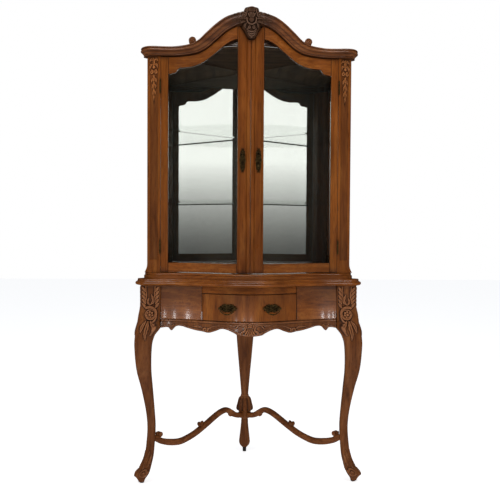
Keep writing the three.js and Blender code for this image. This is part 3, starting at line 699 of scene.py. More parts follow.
def inset_path(path, inset):
    """The same edge moved inwards. Its tips slide along the walls."""
    tangent = np.gradient(path, axis=0)
    tangent /= np.linalg.norm(tangent, axis=1, keepdims=True)
    moved = path + np.stack([tangent[:, 1], -tangent[:, 0]], -1) * inset
    for end in (0, -1):
        moved[end] = path[end] - np.array((math.copysign(1, path[end][0]), 1)) * inset / math.sqrt(2)
    return moved


def moulded_slab(path, profile, back):
    rings = []
    for inset, z in profile:
        outline = np.concatenate([inset_path(path, inset), [[0, back]]])
        rings.append(row(outline[:, 0], outline[:, 1], z))
    return loft(rings)


def rounded_profile(*points, radius=1.2, count=5):
    """A moulding profile with its corners softened; every point keeps its place to within the radius."""
    p = np.array(points, float)
    out = [p[0]]
    for before, here, after in zip(p[:-2], p[1:-1], p[2:]):
        near = min(radius, 0.45 * np.linalg.norm(before - here), 0.45 * np.linalg.norm(after - here))
        start = here + (before - here) / np.linalg.norm(before - here) * near
        end = here + (after - here) / np.linalg.norm(after - here) * near
        out.extend([start, *bezier(start, here, end, count)])
    return np.array([*out, p[-1]])


STAND_PATH = front_path(stand_front, 430, (474, 545), (486, 486))
BASE_PATH = front_path(lambda x: door_front(x) + BASE_OVERHANG, 385, (442, 512), (452, 452))
def cornice_front(x):
    return door_front(x) + CORNICE_OVERHANG


CORNICE_NOSE = front_path(cornice_front, 400, (455, 536), (CORNICE_TIP, CORNICE_TIP), 90)
CORNICE_BACK = front_path(lambda x: cornice_front(x) - CORNICE_DEEP, 362, (400, 454), (406, 406), 90)


# ---- stand ----
def bull_nose(inset, z, reach, tall, count=9):
    """A round nose standing out to `inset`, from z upwards, as [inset, z] places."""
    angle = np.linspace(-np.pi / 2, np.pi / 2, count)
    return np.stack([inset + reach * (1 - np.cos(angle)), z + tall / 2 * (1 + np.sin(angle))], -1)


def make_stand_top():
    low, high = STAND_LOW[2], STAND_HIGH[2]
    nose = bull_nose(0, low + 1.5, 9, 15)
    upper = [(10, low + 17), (10.5, low + 18.6), (13.5, low + 20.5), (12.6, low + 23), (13.4, low + 26), (17, high)]
    profile = np.concatenate([[(16, low)], nose, rounded_profile((9.5, low + 16.6), *upper, radius=1.4)])
    points, faces = moulded_slab(STAND_PATH, profile, 0)
    make_piece("stand_top_form", points, faces, "cabinet", "walnut_across", "walnut", "stand_top", smooth=30)


def face_weights(angle):
    """How much a leg point with this outward angle belongs to the front face and to the outer face."""
    return np.clip(np.sin(angle), 0, 1) ** 2, np.clip(np.cos(angle), 0, 1) ** 2


def leg_section(z, count=34):
    """Offsets of a leg's section at the heights z, with each point's outward angle."""
    half = leg_width(z)[:, None] / 2
    squareness = np.clip((z - 694) / 8, 0, 1)[:, None]
    offsets, angles = [], []
    corners = [(1, 1, 0.3), (-1, 1, 0.6), (-1, -1, 0.6), (1, -1, 0.6)]
    for k, (sx, sd, soft) in enumerate(corners):
        radius = half * (soft + (0.12 - soft) * squareness)
        turn = np.linspace(0, np.pi / 2, 7)[None] + k * np.pi / 2
        x = sx * (half - radius) + radius * np.cos(turn)
        d = sd * (half - radius) + radius * np.sin(turn)
        offsets.append(np.stack([x, d], -1))
        angles.append(np.broadcast_to(turn, x.shape))
        nx, nd, next_soft = corners[(k + 1) % 4]
        next_radius = half * (next_soft + (0.12 - next_soft) * squareness)
        turned = (k + 1) * np.pi / 2
        end = np.stack([nx * (half - next_radius) + next_radius * np.cos(turned),
                        nd * (half - next_radius) + next_radius * np.sin(turned)], -1)
        steps = (count if k in (0, 3) else 5) + 1
        t = np.linspace(0, 1, steps + 1)[1:-1, None]
        offsets.append(offsets[-1][:, -1:] * (1 - t) + end * t)
        angles.append(np.full((len(z), steps - 1), turned))
    return np.concatenate(offsets, 1), np.concatenate(angles, 1)


def carve_knee(u, z):
    """The leg's carving: leafy borders beside a sunk panel, a rosette in a C-scroll, and trailing leaves."""
    r = Relief(u, z)
    for side in (-1, 1):
        for k in range(5):
            top = 838 - 17 * k
            blade = [(side * 21, top - 19), (side * 27, top - 9), (side * 34, top)]
            r.leaf(smooth_path(blade, 8), 5.5, 4.0, 2)
        r.stroke(smooth_path([(side * 20, 842), (side * 17, 800), (side * 24, 768)], 14), 2.4, 3.2)
    r.stroke(spiral(0, 722, 8, 33, 400, 60, 40), 5.2, 6.5, 0.3, (0.8, 1.1))
    r.stroke(spiral(2, 720, 33, 12, 250, -60, 30), 3.4, 4.5, 0.0, (1.0, 0.6))
    for k in range(7):
        angle = math.radians(90 + 360 * k / 7)
        r.bead(1 + 11.5 * math.cos(angle), 722 + 11.5 * math.sin(angle), 5.4, 5.6)
    r.bead(1, 722, 6.5, 7.5)
    r.leaf(smooth_path([(0, 764), (-12, 780), (-4, 806)], 12), 7, 4.2, 3)
    r.leaf(smooth_path([(4, 762), (12, 775), (8, 792)], 12), 5, 3.6, 3)
    r.leaf(smooth_path([(-6, 692), (-20, 664), (-24, 636)], 14), 8, 5.0, 4)
    r.leaf(smooth_path([(4, 692), (4, 655), (-8, 616)], 16), 8.5, 5.5, 5)
    r.leaf(smooth_path([(12, 694), (22, 672), (22, 646)], 14), 6.5, 4.5, 4)
    return r


def carve_foot(r, u, z):
    """A scroll on the toe, with two long leaves up the ankle."""
    foot = Relief(u, z)
    foot.stroke(spiral(-5, 46, 5, 17, 720, 170, 44), 4.2, 3.6, 0.25, (0.7, 1.0))
    foot.bead(-5, 46, 4.6, 4.2)
    foot.leaf(smooth_path([(8, 62), (6, 92), (0, 128)], 14), 7, 3.2, 4)
    foot.leaf(smooth_path([(-10, 70), (-8, 92), (-12, 116)], 12), 5, 2.6, 3)
    r.put(foot.height)


def make_front_legs():
    heights = np.concatenate([
        np.linspace(5.4, 132, 84), np.linspace(136, 596, 62), np.linspace(600, 845, 150), [845.6],
    ])
    offsets, angles = leg_section(heights)
    z = np.broadcast_to(heights[:, None], angles.shape)
    front, outer = face_weights(angles)
    total = np.zeros(z.shape)
    carved = {}
    for weight, u in ((front, offsets[..., 0]), (outer, -offsets[..., 1])):
        r = carve_knee(u * 84 / np.maximum(leg_width(z), 60), z)
        carve_foot(r, u, z)
        edge = np.clip((0.97 - np.abs(u) / (leg_width(z) / 2)) / 0.16, 0, 1)
        r.height = r.height * edge
        total += weight * (r.height - sunk_panel(u, z))
        for key, value in r.marks().items():
            carved[key] = carved.get(key, 0) + weight * value
    middle = leg_middle(heights)[:, None]
    direction = np.stack([np.cos(angles), np.sin(angles)], -1)
    plan = offsets + direction * total[..., None]
    x = middle + plan[..., 0]
    depth = FOOT_DEPTH + middle - FOOT_X + plan[..., 1]
    short = np.maximum((x + WALL_CLEARANCE - depth) / 2, 0)
    x, depth = np.minimum(x - short, 485.8), depth + short
    points, faces = loft(row(x, depth, z))
    add_pair("leg_front_", "", "cabinet", "leg_wood", "walnut", points, faces, carved, smooth=60)


def sunk_panel(u, z):
    """The ground of the carved block is cut back a little between its two leafy borders."""
    inside = np.clip((19 - np.abs(u)) / 3, 0, 1) * np.clip((z - 756) / 6, 0, 1) * np.clip((843 - z) / 3, 0, 1)
    return 2.6 * inside


DIAMOND_WIDTH = 1.16  # how far the back leg's turned square reaches, against its upright square
CORNER_SHARE = 1 / DIAMOND_WIDTH


def make_back_leg():
    heights = np.concatenate([
        np.linspace(22.4, 60, 22), np.linspace(64, 150, 20), np.linspace(152, 200, 30),
        np.linspace(201, 290, 76), np.linspace(300, 845.6, 40),
    ])
    angle = np.linspace(0, 2 * np.pi, 96, endpoint=False)
    half = back_leg_half(heights)[:, None]
    sharp = np.where(heights > 288, 9.0, 5.0)[:, None]
    c, s = np.cos(angle)[None], np.sin(angle)[None]
    diamond = (np.abs(c) + np.abs(s)) / DIAMOND_WIDTH
    box = np.maximum(np.abs(c), np.abs(s))
    radius = half * (1 + CORNER_SHARE**sharp) ** (1 / sharp) / (diamond**sharp + box**sharp) ** (1 / sharp)
    z = np.broadcast_to(heights[:, None], radius.shape)
    leaf = np.abs(np.sin(4 * (angle[None] + np.pi / 8)))
    bell = np.clip((z - 202) / 5, 0, 1) * np.clip((272 - z) / 10, 0, 1)
    fringe = np.clip((z - 203) / 12, 0, 1)
    carved = bell * (-3.4 * (1 - leaf) ** 1.5 - 3.0 * (1 - fringe) * (1 - leaf))
    flute = np.clip((z - 30) / 10, 0, 1) * np.clip((150 - z) / 14, 0, 1)
    carved = carved - 1.6 * flute * np.cos(8 * angle[None]) ** 8
    for ring in (268.0, 276.0):
        carved = carved + 2.0 * np.exp(-(((z - ring) / 2.4) ** 2))
    radius = radius + carved
    points, faces = loft(row(radius * c, BACK_LEG_DEPTH + radius * s, z))
    # Painted shade in the carved grooves; wear with painted highlights on the raised rings.
    marks = {"cavity": np.clip(-carved / 4, 0, 1), "wear": np.clip(carved / 3, 0, 0.6)}
    make_piece("leg_back_form", points, faces, "cabinet", "leg_wood", "walnut", "leg_back", 60, marks=marks)


def frieze_patina(x, z):
    """Painted shade: the frieze is darker under the overhang of the top."""
    return 0.42 * np.clip((z - 742) / 60, 0, 1)


def make_frieze():
    xs = spaced(DRAWER_HALF + GAP, 375.8, 44)
    # The panels carry painted shade towards the top, under the overhang.
    panel = board(xs, level(FRIEZE_BOTTOM + GAP), level(STAND_LOW[2] - GAP), frieze_front,
                  lambda x: stand_front(x) - STAND_INSET - FRIEZE_THICK, 40, painted_shade=frieze_patina)
    add_pair("frieze_panel_", "", "cabinet", "walnut_across", "walnut", *panel)
    xs = spaced(-DRAWER_HALF, DRAWER_HALF, 60)
    rail = board(xs, level(815 + PLAY), level(STAND_LOW[2] - GAP), lambda x, z: frieze_front(x, z) - 3,
                 lambda x: stand_front(x) - STAND_INSET - 40, 10)
    add_board("drawer_top_rail_form", "cabinet", "walnut_across", "walnut", rail, "drawer_top_rail")


def carve_apron(x, z):
    """A rolled lower edge, a flower and shell in the middle, scrolls, and two small hanging leaves."""
    r = Relief(x, z)
    slope = (apron_edge(x + 1) - apron_edge(x - 1)) / 2
    from_edge = (z - apron_edge(x)) / np.sqrt(1 + slope**2)
    r.put(3.2 * np.sqrt(np.clip(1 - ((from_edge - 4) / 3.6) ** 2, 0, 1)))
    for side in (-1, 1):
        scroll = [(58, 676), (44, 690), (24, 684), (20, 668), (32, 660)]
        r.stroke(side_path(side, scroll, 26), 4.6, 6.0, 0.3, (0.6, 1.0))
        r.leaf(side_path(side, [(10, 674), (22, 692), (44, 696)], 14), 5.5, 6.0, 3)
        r.leaf(side_path(side, [(24, 662), (40, 652), (62, 662)], 14), 5.0, 5.0, 3)
        r.leaf(side_path(side, [(50, 690), (72, 686), (96, 690)], 14), 4.0, 3.4, 3)
        r.stroke(mirror_x(side, spiral(186, 664, 3, 12, 560, 160, 34)), 3.6, 5.2, 0.2)
        r.stroke(side_path(side, [(174, 668), (150, 680), (124, 684)], 16), 3.2, 3.4, 0.2, (1.0, 0.3))
        r.leaf(side_path(side, [(196, 668), (216, 676), (240, 674)], 14), 4.5, 3.4, 3)
        r.leaf(side_path(side, [(318, 680), (329, 668), (330, 656)], 10), 5.5, 5.0, 2)
        r.leaf(side_path(side, [(342, 680), (334, 670), (331, 657)], 10), 4.5, 4.5, 2)
    r.shell(0, 684, 40, 232, 308, 5, 7.5)
    for k in range(5):
        angle = math.radians(90 + 72 * k)
        r.bead(6.5 * math.cos(angle), 688 + 6.5 * math.sin(angle), 4.6, 8.0)
    r.bead(0, 688, 4.2, 9.5)
    bead = (z - (FRIEZE_BOTTOM - 5)) / 5
    r.put(5 * np.sqrt(np.clip(1 - bead**2, 0, 1)))
    return r


def mirror_x(side, path):
    return np.asarray(path, float) * (side, 1)


def side_path(side, points, count):
    return mirror_x(side, smooth_path(points, count))


def make_apron():
    xs = spaced(-375.8, 375.8, 560, 0.8)
    apron = board(xs, apron_edge, level(FRIEZE_BOTTOM - GAP / 2), lambda x, z: stand_front(x) - STAND_INSET + 6,
                  lambda x: stand_front(x) - STAND_INSET - 18, 44, 0.8, carve_apron)
    add_board("apron_form", "cabinet", "leg_wood", "walnut", apron, "apron", smooth=50)


def make_stretchers():
    ankle = np.array((leg_middle(190), FOOT_DEPTH + leg_middle(190) - FOOT_X))
    run = np.array((0, BACK_LEG_DEPTH)) - ankle
    length = np.linalg.norm(run)
    along = run / length
    side = np.array((-along[1], along[0]))
    start, end = 14, length - 22

    def place(t, across, z):
        reach = start + (end - start) * np.asarray(t)[..., None]
        plan = ankle + along * reach + side * np.asarray(across)[..., None]
        return row(plan[..., 0], plan[..., 1], z)

    t = np.linspace(0, 1, 150)[:, None]
    angle = np.linspace(0, 2 * np.pi, 28, endpoint=False)[None]
    power = 0.5
    wide = np.sign(np.cos(angle)) * np.abs(np.cos(angle)) ** power * 11.5
    tall = np.sign(np.sin(angle)) * np.abs(np.sin(angle)) ** power * 12.5
    middle = stretcher_height(t)
    slope = np.gradient(middle[:, 0], (end - start) / 149)[:, None]
    tilt = np.arctan(slope)
    swell = 1 + 0.12 * np.exp(-(((t - 0.2) / 0.12) ** 2))
    t_shift = -np.sin(tilt) * tall * swell / (end - start)
    bar = loft(place(t + t_shift, np.broadcast_to(wide, t_shift.shape), middle + np.cos(tilt) * tall * swell))

    def volute(t0, rise, radius, turns, hand):
        s = np.linspace(0, 1, 46)
        a = np.radians(turns[0] + (turns[1] - turns[0]) * s)
        r = radius * (0.22 + 0.78 * s)
        path_t = t0 + hand * r * np.cos(a) / (end - start)
        path_z = float(stretcher_height(t0)) + rise + r * np.sin(a)
        path = place(path_t, np.zeros(46), path_z)
        bar_side = (side[0], -side[1], 0)
        return tube(path, 2.6 + 4.4 * s, 10, 1.0, bar_side)

    def button(t0, rise, radius):
        lengths = np.array((-12.5, -10, 10, 12.5))
        rings = []
        for across, r in zip(lengths, (radius * 0.6, radius, radius, radius * 0.6)):
            a = np.linspace(0, 2 * np.pi, 24, endpoint=False)
            rings.append(place(t0 + r * np.cos(a) / (end - start), np.full(24, across),
                               float(stretcher_height(t0)) + rise + r * np.sin(a)))
        return loft(rings)

    solids = [bar, button(0.06, 27, 11), button(0.50, 24, 9), button(0.87, -3, 12)]
    solids.append(volute(0.06, 27, 16, (20, 400), -1))
    solids.append(volute(0.50, 24, 14, (0, 400), 1))
    solids.append(volute(0.87, -3, 15, (60, 380), -1))
    points, faces = join_solids(*solids)
    add_pair("stretcher_", "", "cabinet", "stretcher_wood", "walnut", points, faces, smooth=50)


# ---- drawer ----
def make_drawer():
    half = DRAWER_HALF - PLAY
    xs = spaced(-half, half, 90, 1.6)
    # The drawer front carries a weaker copy of the frieze's painted shade.
    front = board(xs, level(FRIEZE_BOTTOM + PLAY), level(815 - GAP), frieze_front,
                  lambda x: stand_front(x) - STAND_INSET - FRIEZE_THICK, 40, 1.6,
                  painted_shade=lambda x, z: 0.6 * frieze_patina(x, z))
    add_board("drawer_front_form", "drawer", "walnut_up", "walnut", front, "drawer_front")


class Seat:
    """A place on a bowed front. Local x lies along the surface, and local y points into it."""

    def __init__(self, front, x, z, lift):
        slope = float(front(x + 1, z) - front(x - 1, z)) / 2
        self.angle = -math.atan(slope)
        self.origin = row(x, float(front(x, z)) + lift, z)

    def put(self, x, out, z):
        """Local places as points of the row frame; out is the distance in front of the surface."""
        x, out, z = np.broadcast_arrays(np.asarray(x, float), np.asarray(out, float), np.asarray(z, float))
        c, s = math.cos(self.angle), math.sin(self.angle)
        return self.origin + np.stack([x * c + out * s, x * s - out * c, z], -1)


def pierced_plate(seat, outline, thick, carve, rings=16):
    """A cast plate over a wavy outline: outline(angle) gives its reach in x and z."""
    angle = np.linspace(0, 2 * np.pi, 120, endpoint=False)
    reach_x, reach_z = outline(angle)
    share = np.linspace(0.02, 1, rings)[:, None]
    x, z = reach_x * share, reach_z * share
    relief = carve(x, z)
    edge = np.clip((1 - share) / 0.12, 0, 1) ** 0.5
    out = thick * (0.35 + 0.65 * edge) + relief.height * edge
    front = seat.put(x, out, z)
    back = seat.put(x, 0, z)
    rings = np.concatenate([front, back[::-1]])
    points, faces = rings.reshape(-1, 3), loft_faces(120, len(rings))
    marks = relief.marks()
    shade = {k: np.concatenate([v, np.zeros(v.shape)]) for k, v in marks.items()}
    return points, faces, shade


def handle_outline(angle):
    swell = 0.80 + 0.12 * np.cos(2 * angle) + 0.05 * np.cos(6 * angle) + 0.045 * np.cos(16 * angle)
    return 41 * swell * np.cos(angle), 25 * swell * np.sin(angle)


def carve_handle(x, z):
    r = Relief(x, z)
    for side in (-1, 1):
        r.stroke(side_path(side, [(6, -9), (16, -13), (28, -6), (26, 5), (17, 4)], 24), 3.2, 2.6, 0.2)
        r.stroke(side_path(side, [(4, 8), (14, 13), (25, 9)], 16), 2.6, 2.2, 0.2)
        r.leaf(side_path(side, [(24, 0), (32, 3), (38, 0)], 8), 3.0, 2.0, 2)
    r.shell(0, -12, 22, 40, 140, 5, 3.4)
    r.bead(0, -11, 4, 3.4)
    return r


def make_handles():
    for side, sign in (("left", -1), ("right", 1)):
        seat = Seat(frieze_front, sign * HANDLE_X, HANDLE_Z, 1.2)
        plate = pierced_plate(seat, handle_outline, 2.0, carve_handle)
        solids = [plate[:2]]
        for x in (-HANDLE_POST, HANDLE_POST):
            out = np.array((0.5, 4, 6, 9, 13, 15, 17.5, 19.4))
            radius = (5.4, 5.0, 3.4, 3.0, 3.4, 5.2, 4.6, 1.0)
            turn = np.linspace(0, 2 * np.pi, 20, endpoint=False)
            solids.append(loft([seat.put(x + r * np.cos(turn), o, r * np.sin(turn)) for o, r in zip(out, radius)]))
        points, faces = join_solids(*solids)
        spare = len(points) - plate[2]["cavity"].size
        marks = {k: np.concatenate([v.ravel(), np.zeros(spare)]) for k, v in plate[2].items()}
        make_piece(f"drawer_plate_{side}_form", points, faces, "drawer", "brass", "brass", f"drawer_plate_{side}", marks=marks)
        half_grip = [(-31, 0), (-25, -3), (-27, -13), (-14, -22)]
        grip = smooth_path(half_grip + [(0, -25)] + [(-x, z) for x, z in reversed(half_grip)], 72)
        share = np.linspace(-1, 1, 72)
        radius = 2.0 + 1.1 * np.exp(-((share / 0.16) ** 2)) + 0.9 * np.exp(-(((np.abs(share) - 0.55) / 0.1) ** 2))
        path = seat.put(grip[:, 0], HANDLE_REACH, grip[:, 1])
        normal = (math.sin(seat.angle), -math.cos(seat.angle), 0)
        make_piece(f"drawer_bail_{side}_form", *tube(path, radius, 14, 1.0, normal), f"bail_{side}", "brass", "brass",
                   f"drawer_bail_{side}", 60)


# ---- upper case ----
def make_cabinet_base():
    low, high = BASE_LOW[2], BASE_HIGH[2]
    lower = [(0, low), (0, low + 11), (1.2, low + 12.4), (4.6, low + 13.2), (6.0, low + 14.6)]
    nose = bull_nose(4.6, low + 15.0, 3.6, 7.6, 7)
    profile = np.concatenate([lower, nose, [(9.6, low + 23.2), (12, high)]])
    points, faces = moulded_slab(BASE_PATH, profile, 4)
    make_piece("cabinet_base_form", points, faces, "cabinet", "walnut_across", "walnut", "cabinet_base", smooth=30)


def carve_drop(u, z):
    """Leaves and a rosette over a string of bell flowers, above a beaded sunk panel."""
    r = Relief(u, z)
    for side in (-1, 1):
        r.leaf(side_path(side, [(2, 1800), (12, 1806), (20, 1797)], 10), 5.5, 5.0, 3)
        r.leaf(side_path(side, [(3, 1782), (14, 1782), (19, 1768)], 10), 5.5, 5.0, 3)
        r.stroke(mirror_x(side, spiral(11, 1752, 2.5, 8, 500, 90, 26)), 2.8, 4.6, 0.2)
        for k in range(3):
            top = 1728 - 26 * k
            fat = 1 - 0.18 * k
            r.leaf(side_path(side, [(1, top), (9 * fat, top - 8), (11 * fat, top - 21)], 10), 4.4 * fat, 4.4, 2)
    r.leaf(smooth_path([(0, 1776), (0, 1795), (0, 1810)], 10), 6.5, 6.0, 3)
    r.bead(0, 1772, 6.5, 6.8)
    for k in range(4):
        top = 1738 - 26 * k
        fat = 1 - 0.16 * k
        r.leaf(smooth_path([(0, top), (0, top - 13), (0, top - 26)], 10), 5.0 * fat, 5.0, 2)
    return r


def pilaster_face(u, z, half):
    """The canted face: two edge beads and a sunk panel between them."""
    face = np.zeros(u.shape)
    for edge in (-1, 1):
        face = face + 2.2 * np.sqrt(np.clip(1 - ((u * edge - (half - 7)) / 3.2) ** 2, 0, 1))
    between = np.clip((1812 - z) / 3, 0, 1) * np.clip((z - 950) / 6, 0, 1)
    sunk = np.clip((half - 12.5 - np.abs(u)) / 2.0, 0, 1) * between
    return face - 2.6 * sunk


def make_pilasters():
    top = float(cornice_under(CASE_SIDE)) - 1 - GAP
    heights = np.concatenate([
        np.linspace(BASE_HIGH[2] + GAP, 950, 40), np.linspace(956, 1640, 50), np.linspace(1646, top, 110),
    ])[:, None]
    flare = CASE_FOOT * np.clip((936 - heights) / 37, 0, 1) ** 2
    near = np.concatenate([np.full(heights.shape, 379.6), np.full(heights.shape, 499.5)], 1)
    far = np.concatenate([CASE_SIDE + flare, CASE_SIDE_DEPTH + flare / 2], 1)
    span = np.linalg.norm(far - near, axis=1)[:, None]
    share = spaced(0, 1, 44, 0.02)[None]
    plan = near[:, None] + (far - near)[:, None] * share[..., None]
    along = (far - near) / span
    normal = np.stack([-along[:, 1], along[:, 0]], -1)[:, None]
    u = (share - 0.5) * span
    z = np.broadcast_to(heights, u.shape)
    r = carve_drop(u, z)
    edge = np.clip((0.97 - 2 * np.abs(share - 0.5)) / 0.1, 0, 1)
    drop = arris(np.minimum(share, 1 - share) * span, 1.5)
    out = (r.height + pilaster_face(u, z, span / 2)) * edge - drop
    face = plan + normal * out[..., None]
    rest = np.stack([
        np.concatenate([CASE_SIDE + flare, CASE_SIDE + flare + WALL_CLEARANCE], 1),
        np.broadcast_to((405, 408.5), near.shape), np.broadcast_to((405, 452), near.shape),
        np.broadcast_to((379.6, 474), near.shape),
    ], 1)
    ring = np.concatenate([face, rest], 1)
    ring_z = np.broadcast_to(heights, ring.shape[:2])
    points, faces = loft(row(ring[..., 0], ring[..., 1], ring_z))
    marks = {k: np.concatenate([v, np.zeros((len(v), 4))], 1) for k, v in r.marks().items()}
    # The sunk panel is darkened with painted shade, more where it is cut further back.
    sunk = np.concatenate([np.clip(-out / 6, 0, 0.4), np.zeros((len(out), 4))], 1)
    marks["cavity"] = np.maximum(marks["cavity"], sunk)
    add_pair("pilaster_", "", "cabinet", "walnut_up", "walnut", points, faces, marks)


def volute_disc(x, z, radius, near, far, hand):
    """A turned-over scroll: a short bar along depth whose front end carries a spiral."""
    angle = np.linspace(0, 2 * np.pi, 72, endpoint=False)
    share = np.linspace(0.02, 1, 26)[:, None]
    r = radius * share
    turn = hand * angle[None] / (2 * np.pi) + share * 2.0
    groove = 0.5 - 0.5 * np.cos(2 * np.pi * turn)
    front = far - 5 * share**2 - 4.0 * groove * np.clip(share * 5, 0, 1) * np.clip((1 - share) * 6, 0.25, 1)
    px, pz = x + r * np.cos(angle), z + r * np.sin(angle)
    cap = row(px, front, pz)
    barrel = [row(px[-1], depth, pz[-1]) for depth in np.linspace(far - 8, near, 5)]
    return loft(np.concatenate([cap, barrel]))


def cornice_profile():
    """The cornice section as (inset from the nose, share of the height), from the back of the soffit up."""
    bead = [(17.5 - 3.2 * math.sin(a), 0.09 - 0.07 * math.cos(a)) for a in np.linspace(0.2, math.pi, 7)]
    cove = [(15.5, 0.17), (15.2, 0.20), (13.6, 0.29), (10.6, 0.37), (6.6, 0.43), (5.6, 0.45)]
    ovolo = [(5.2, 0.48), (3.2, 0.50), (1.2, 0.54), (0.1, 0.60), (0.0, 0.67), (1.0, 0.75), (3.0, 0.81), (4.4, 0.83)]
    fillet = [(4.6, 0.86), (1.8, 0.875), (1.0, 0.90), (1.0, 0.97), (2.0, 1.0)]
    return [(56, 0), (21, 0.0), (20, 0.01), *bead, *cove, *ovolo, *fillet, (CORNICE_DEEP, 1)]


CORNICE_GROOVES = (0.015, 0.17, 0.465, 0.845)  # shares of the height where dirt and painted shade are laid


def make_cornice():
    profile = np.array(cornice_profile())
    rings = []
    for (x, d), (back_x, back_d) in zip(CORNICE_NOSE, CORNICE_BACK):
        inset = np.concatenate([[CORNICE_DEEP, 56], profile[:, 0]]) / CORNICE_DEEP
        px, pd = x + (back_x - x) * inset, d + (back_d - d) * inset
        low, high = cornice_under(px), cornice_top(px)
        z = low + (high - low) * np.concatenate([[0, 0], profile[:, 1]])
        z[:2] = np.minimum(low[:2] - 1, TOP_BOARD + GAP)
        rings.append(row(px, pd, z))
    curls = []
    for sign in (-1, 1):
        x = sign * CURL_X
        nose = float(door_front(x)) + CORNICE_OVERHANG
        curls.append(volute_disc(x, float(cornice_top(x)) + CURL_UP, 15.5, nose - 34, nose - 3, sign))
    points, faces = join_solids(loft(rings), *curls)
    # Dirt and painted shade in the grooves of the moulding; the cornice is also darker towards the crest.
    groove_dirt_and_shade = np.zeros(len(points))
    share = np.tile(np.concatenate([[0, 0], profile[:, 1]]), len(rings))
    groove_dirt_and_shade[:len(share)] = sum(np.exp(-(((share - groove) / 0.025) ** 2)) for groove in CORNICE_GROOVES)
    near_crest = 0.55 * np.clip((125 - np.abs(points[:, 0])) / 50, 0, 1)
    marks = {"cavity": np.clip(np.maximum(groove_dirt_and_shade, near_crest), 0, 1)}
    make_piece("cornice_form", points, faces, "cabinet", "cornice_wood", "walnut", "cornice", smooth=34, marks=marks)


def crest_lobes(x):
    """Leaf tips along the top of the crest, left and right of the smooth rim of the shell."""
    beyond = np.clip((np.abs(x) - 24) / 5, 0, 1)
    return crest_top(x) - 5.5 * beyond * (1 - np.abs(np.cos((np.abs(x) - 26) * np.pi / 15)) ** 0.6)


def crest_low(x):
    return np.minimum(pendant_edge(x), crest_under(x))


def carve_crest(x, z):
    """A smooth cap over a fluted fan and a bowl, leaves on both sides, and a ribbed pendant with a berry."""
    r = Relief(x, z)
    r.stroke([(-7, 1983), (7, 1983)], 10.5, 12)
    r.stroke(smooth_path([(-20, 1970), (-17, 1986), (0, 1993), (17, 1986), (20, 1970)], 26), 2.4, 11)
    r.shell(0, 1938, 36, 58, 122, 5, 12, 0.2)
    r.bead(0, 1942, 10, 12)
    r.stroke(smooth_path([(-20, 1948), (-16, 1931), (0, 1922), (16, 1931), (20, 1948)], 30), 2.8, 13)
    for k in range(3):
        half, low = 18 - 2.4 * k, 1896 - 8.5 * k
        rib = [(-half, low + 8), (-0.6 * half, low), (0, low - 3), (0.6 * half, low), (half, low + 8)]
        r.stroke(smooth_path(rib, 22), 2.7, 9 - k)
    r.bead(0, 1874, 5, 6)
    for side in (-1, 1):
        r.bead(side * 28, 1983, 6.5, 10)
        r.bead(side * 31, 1962, 4.5, 10)
        r.stroke(mirror_x(side, spiral(31, 1962, 6, 10, 420, 60, 26)), 2.4, 8)
        r.stroke(mirror_x(side, spiral(10, 1911, 1.5, 6, 560, 90, 26)), 2.2, 10)
        r.leaf(side_path(side, [(18, 1930), (27, 1922), (25, 1908)], 12), 4.6, 9, 2)
        r.leaf(side_path(side, [(36, 1973), (46, 1979), (58, 1972)], 12), 5.0, 7, 3)
        r.leaf(side_path(side, [(44, 1964), (60, 1971), (76, 1963)], 12), 5.5, 7, 3)
        r.leaf(side_path(side, [(56, 1957), (75, 1962), (94, 1952)], 12), 4.8, 6, 3)
        r.leaf(side_path(side, [(24, 1946), (40, 1953), (58, 1947)], 12), 5.6, 8, 3)
        r.leaf(side_path(side, [(42, 1939), (60, 1945), (82, 1940)], 12), 5.0, 6, 3)
        r.leaf(side_path(side, [(24, 1933), (38, 1936), (54, 1930)], 12), 4.2, 7, 2)
    return r


def moulding_inset(x, z):
    """How far the cornice face lies behind its nose at (x, z)."""
    profile = np.array(cornice_profile())
    share = (z - cornice_under(x)) / (cornice_top(x) - cornice_under(x))
    return np.interp(share, profile[:, 1], profile[:, 0])


def make_crest():
    nose = cornice_front
    xs = spaced(-95, 95, 230, 0.8)

    def front(x, z):
        wing = np.clip((np.abs(x) - 26) / 20, 0, 1)
        hang = np.clip((1930 - z) / 60, 0, 1)
        centre = np.minimum(nose(x), nose(46) + 4) + 2 - 4 * hang
        return centre * (1 - wing) + (nose(x) - moulding_inset(x, z) - 1.5) * wing

    points, faces, marks = board(xs, crest_low, crest_lobes, front, lambda x: nose(x) - 26, 150, 1.2, carve_crest)
    n = len(points) // 2
    lower = points[n:, 2] < 1926
    points[n:, 1] = np.where(lower, DEPTH / 2 - (float(door_front(0)) - DOOR_THICK - 1), points[n:, 1])
    make_piece("crest_form", points, faces, "cabinet", "carving", "carving", "crest", 55, marks=marks)


# ---- doors ----
def pane_moulding(from_edge):
    """A small round beside the glass and a quirk behind it, as a change of the front's depth."""
    nose = 1.6 * np.sqrt(np.clip(1 - ((from_edge - 3.6) / 3.6) ** 2, 0, 1))
    quirk = 1.8 * np.exp(-(((from_edge - 8.2) / 1.0) ** 2))
    return np.where(from_edge < 7.2, nose - 2.2, -quirk)


def door_back(x):
    return door_front(x) - DOOR_THICK


def door_head(x):
    return cornice_under(x) - 3


DOOR_BOTTOM = 902


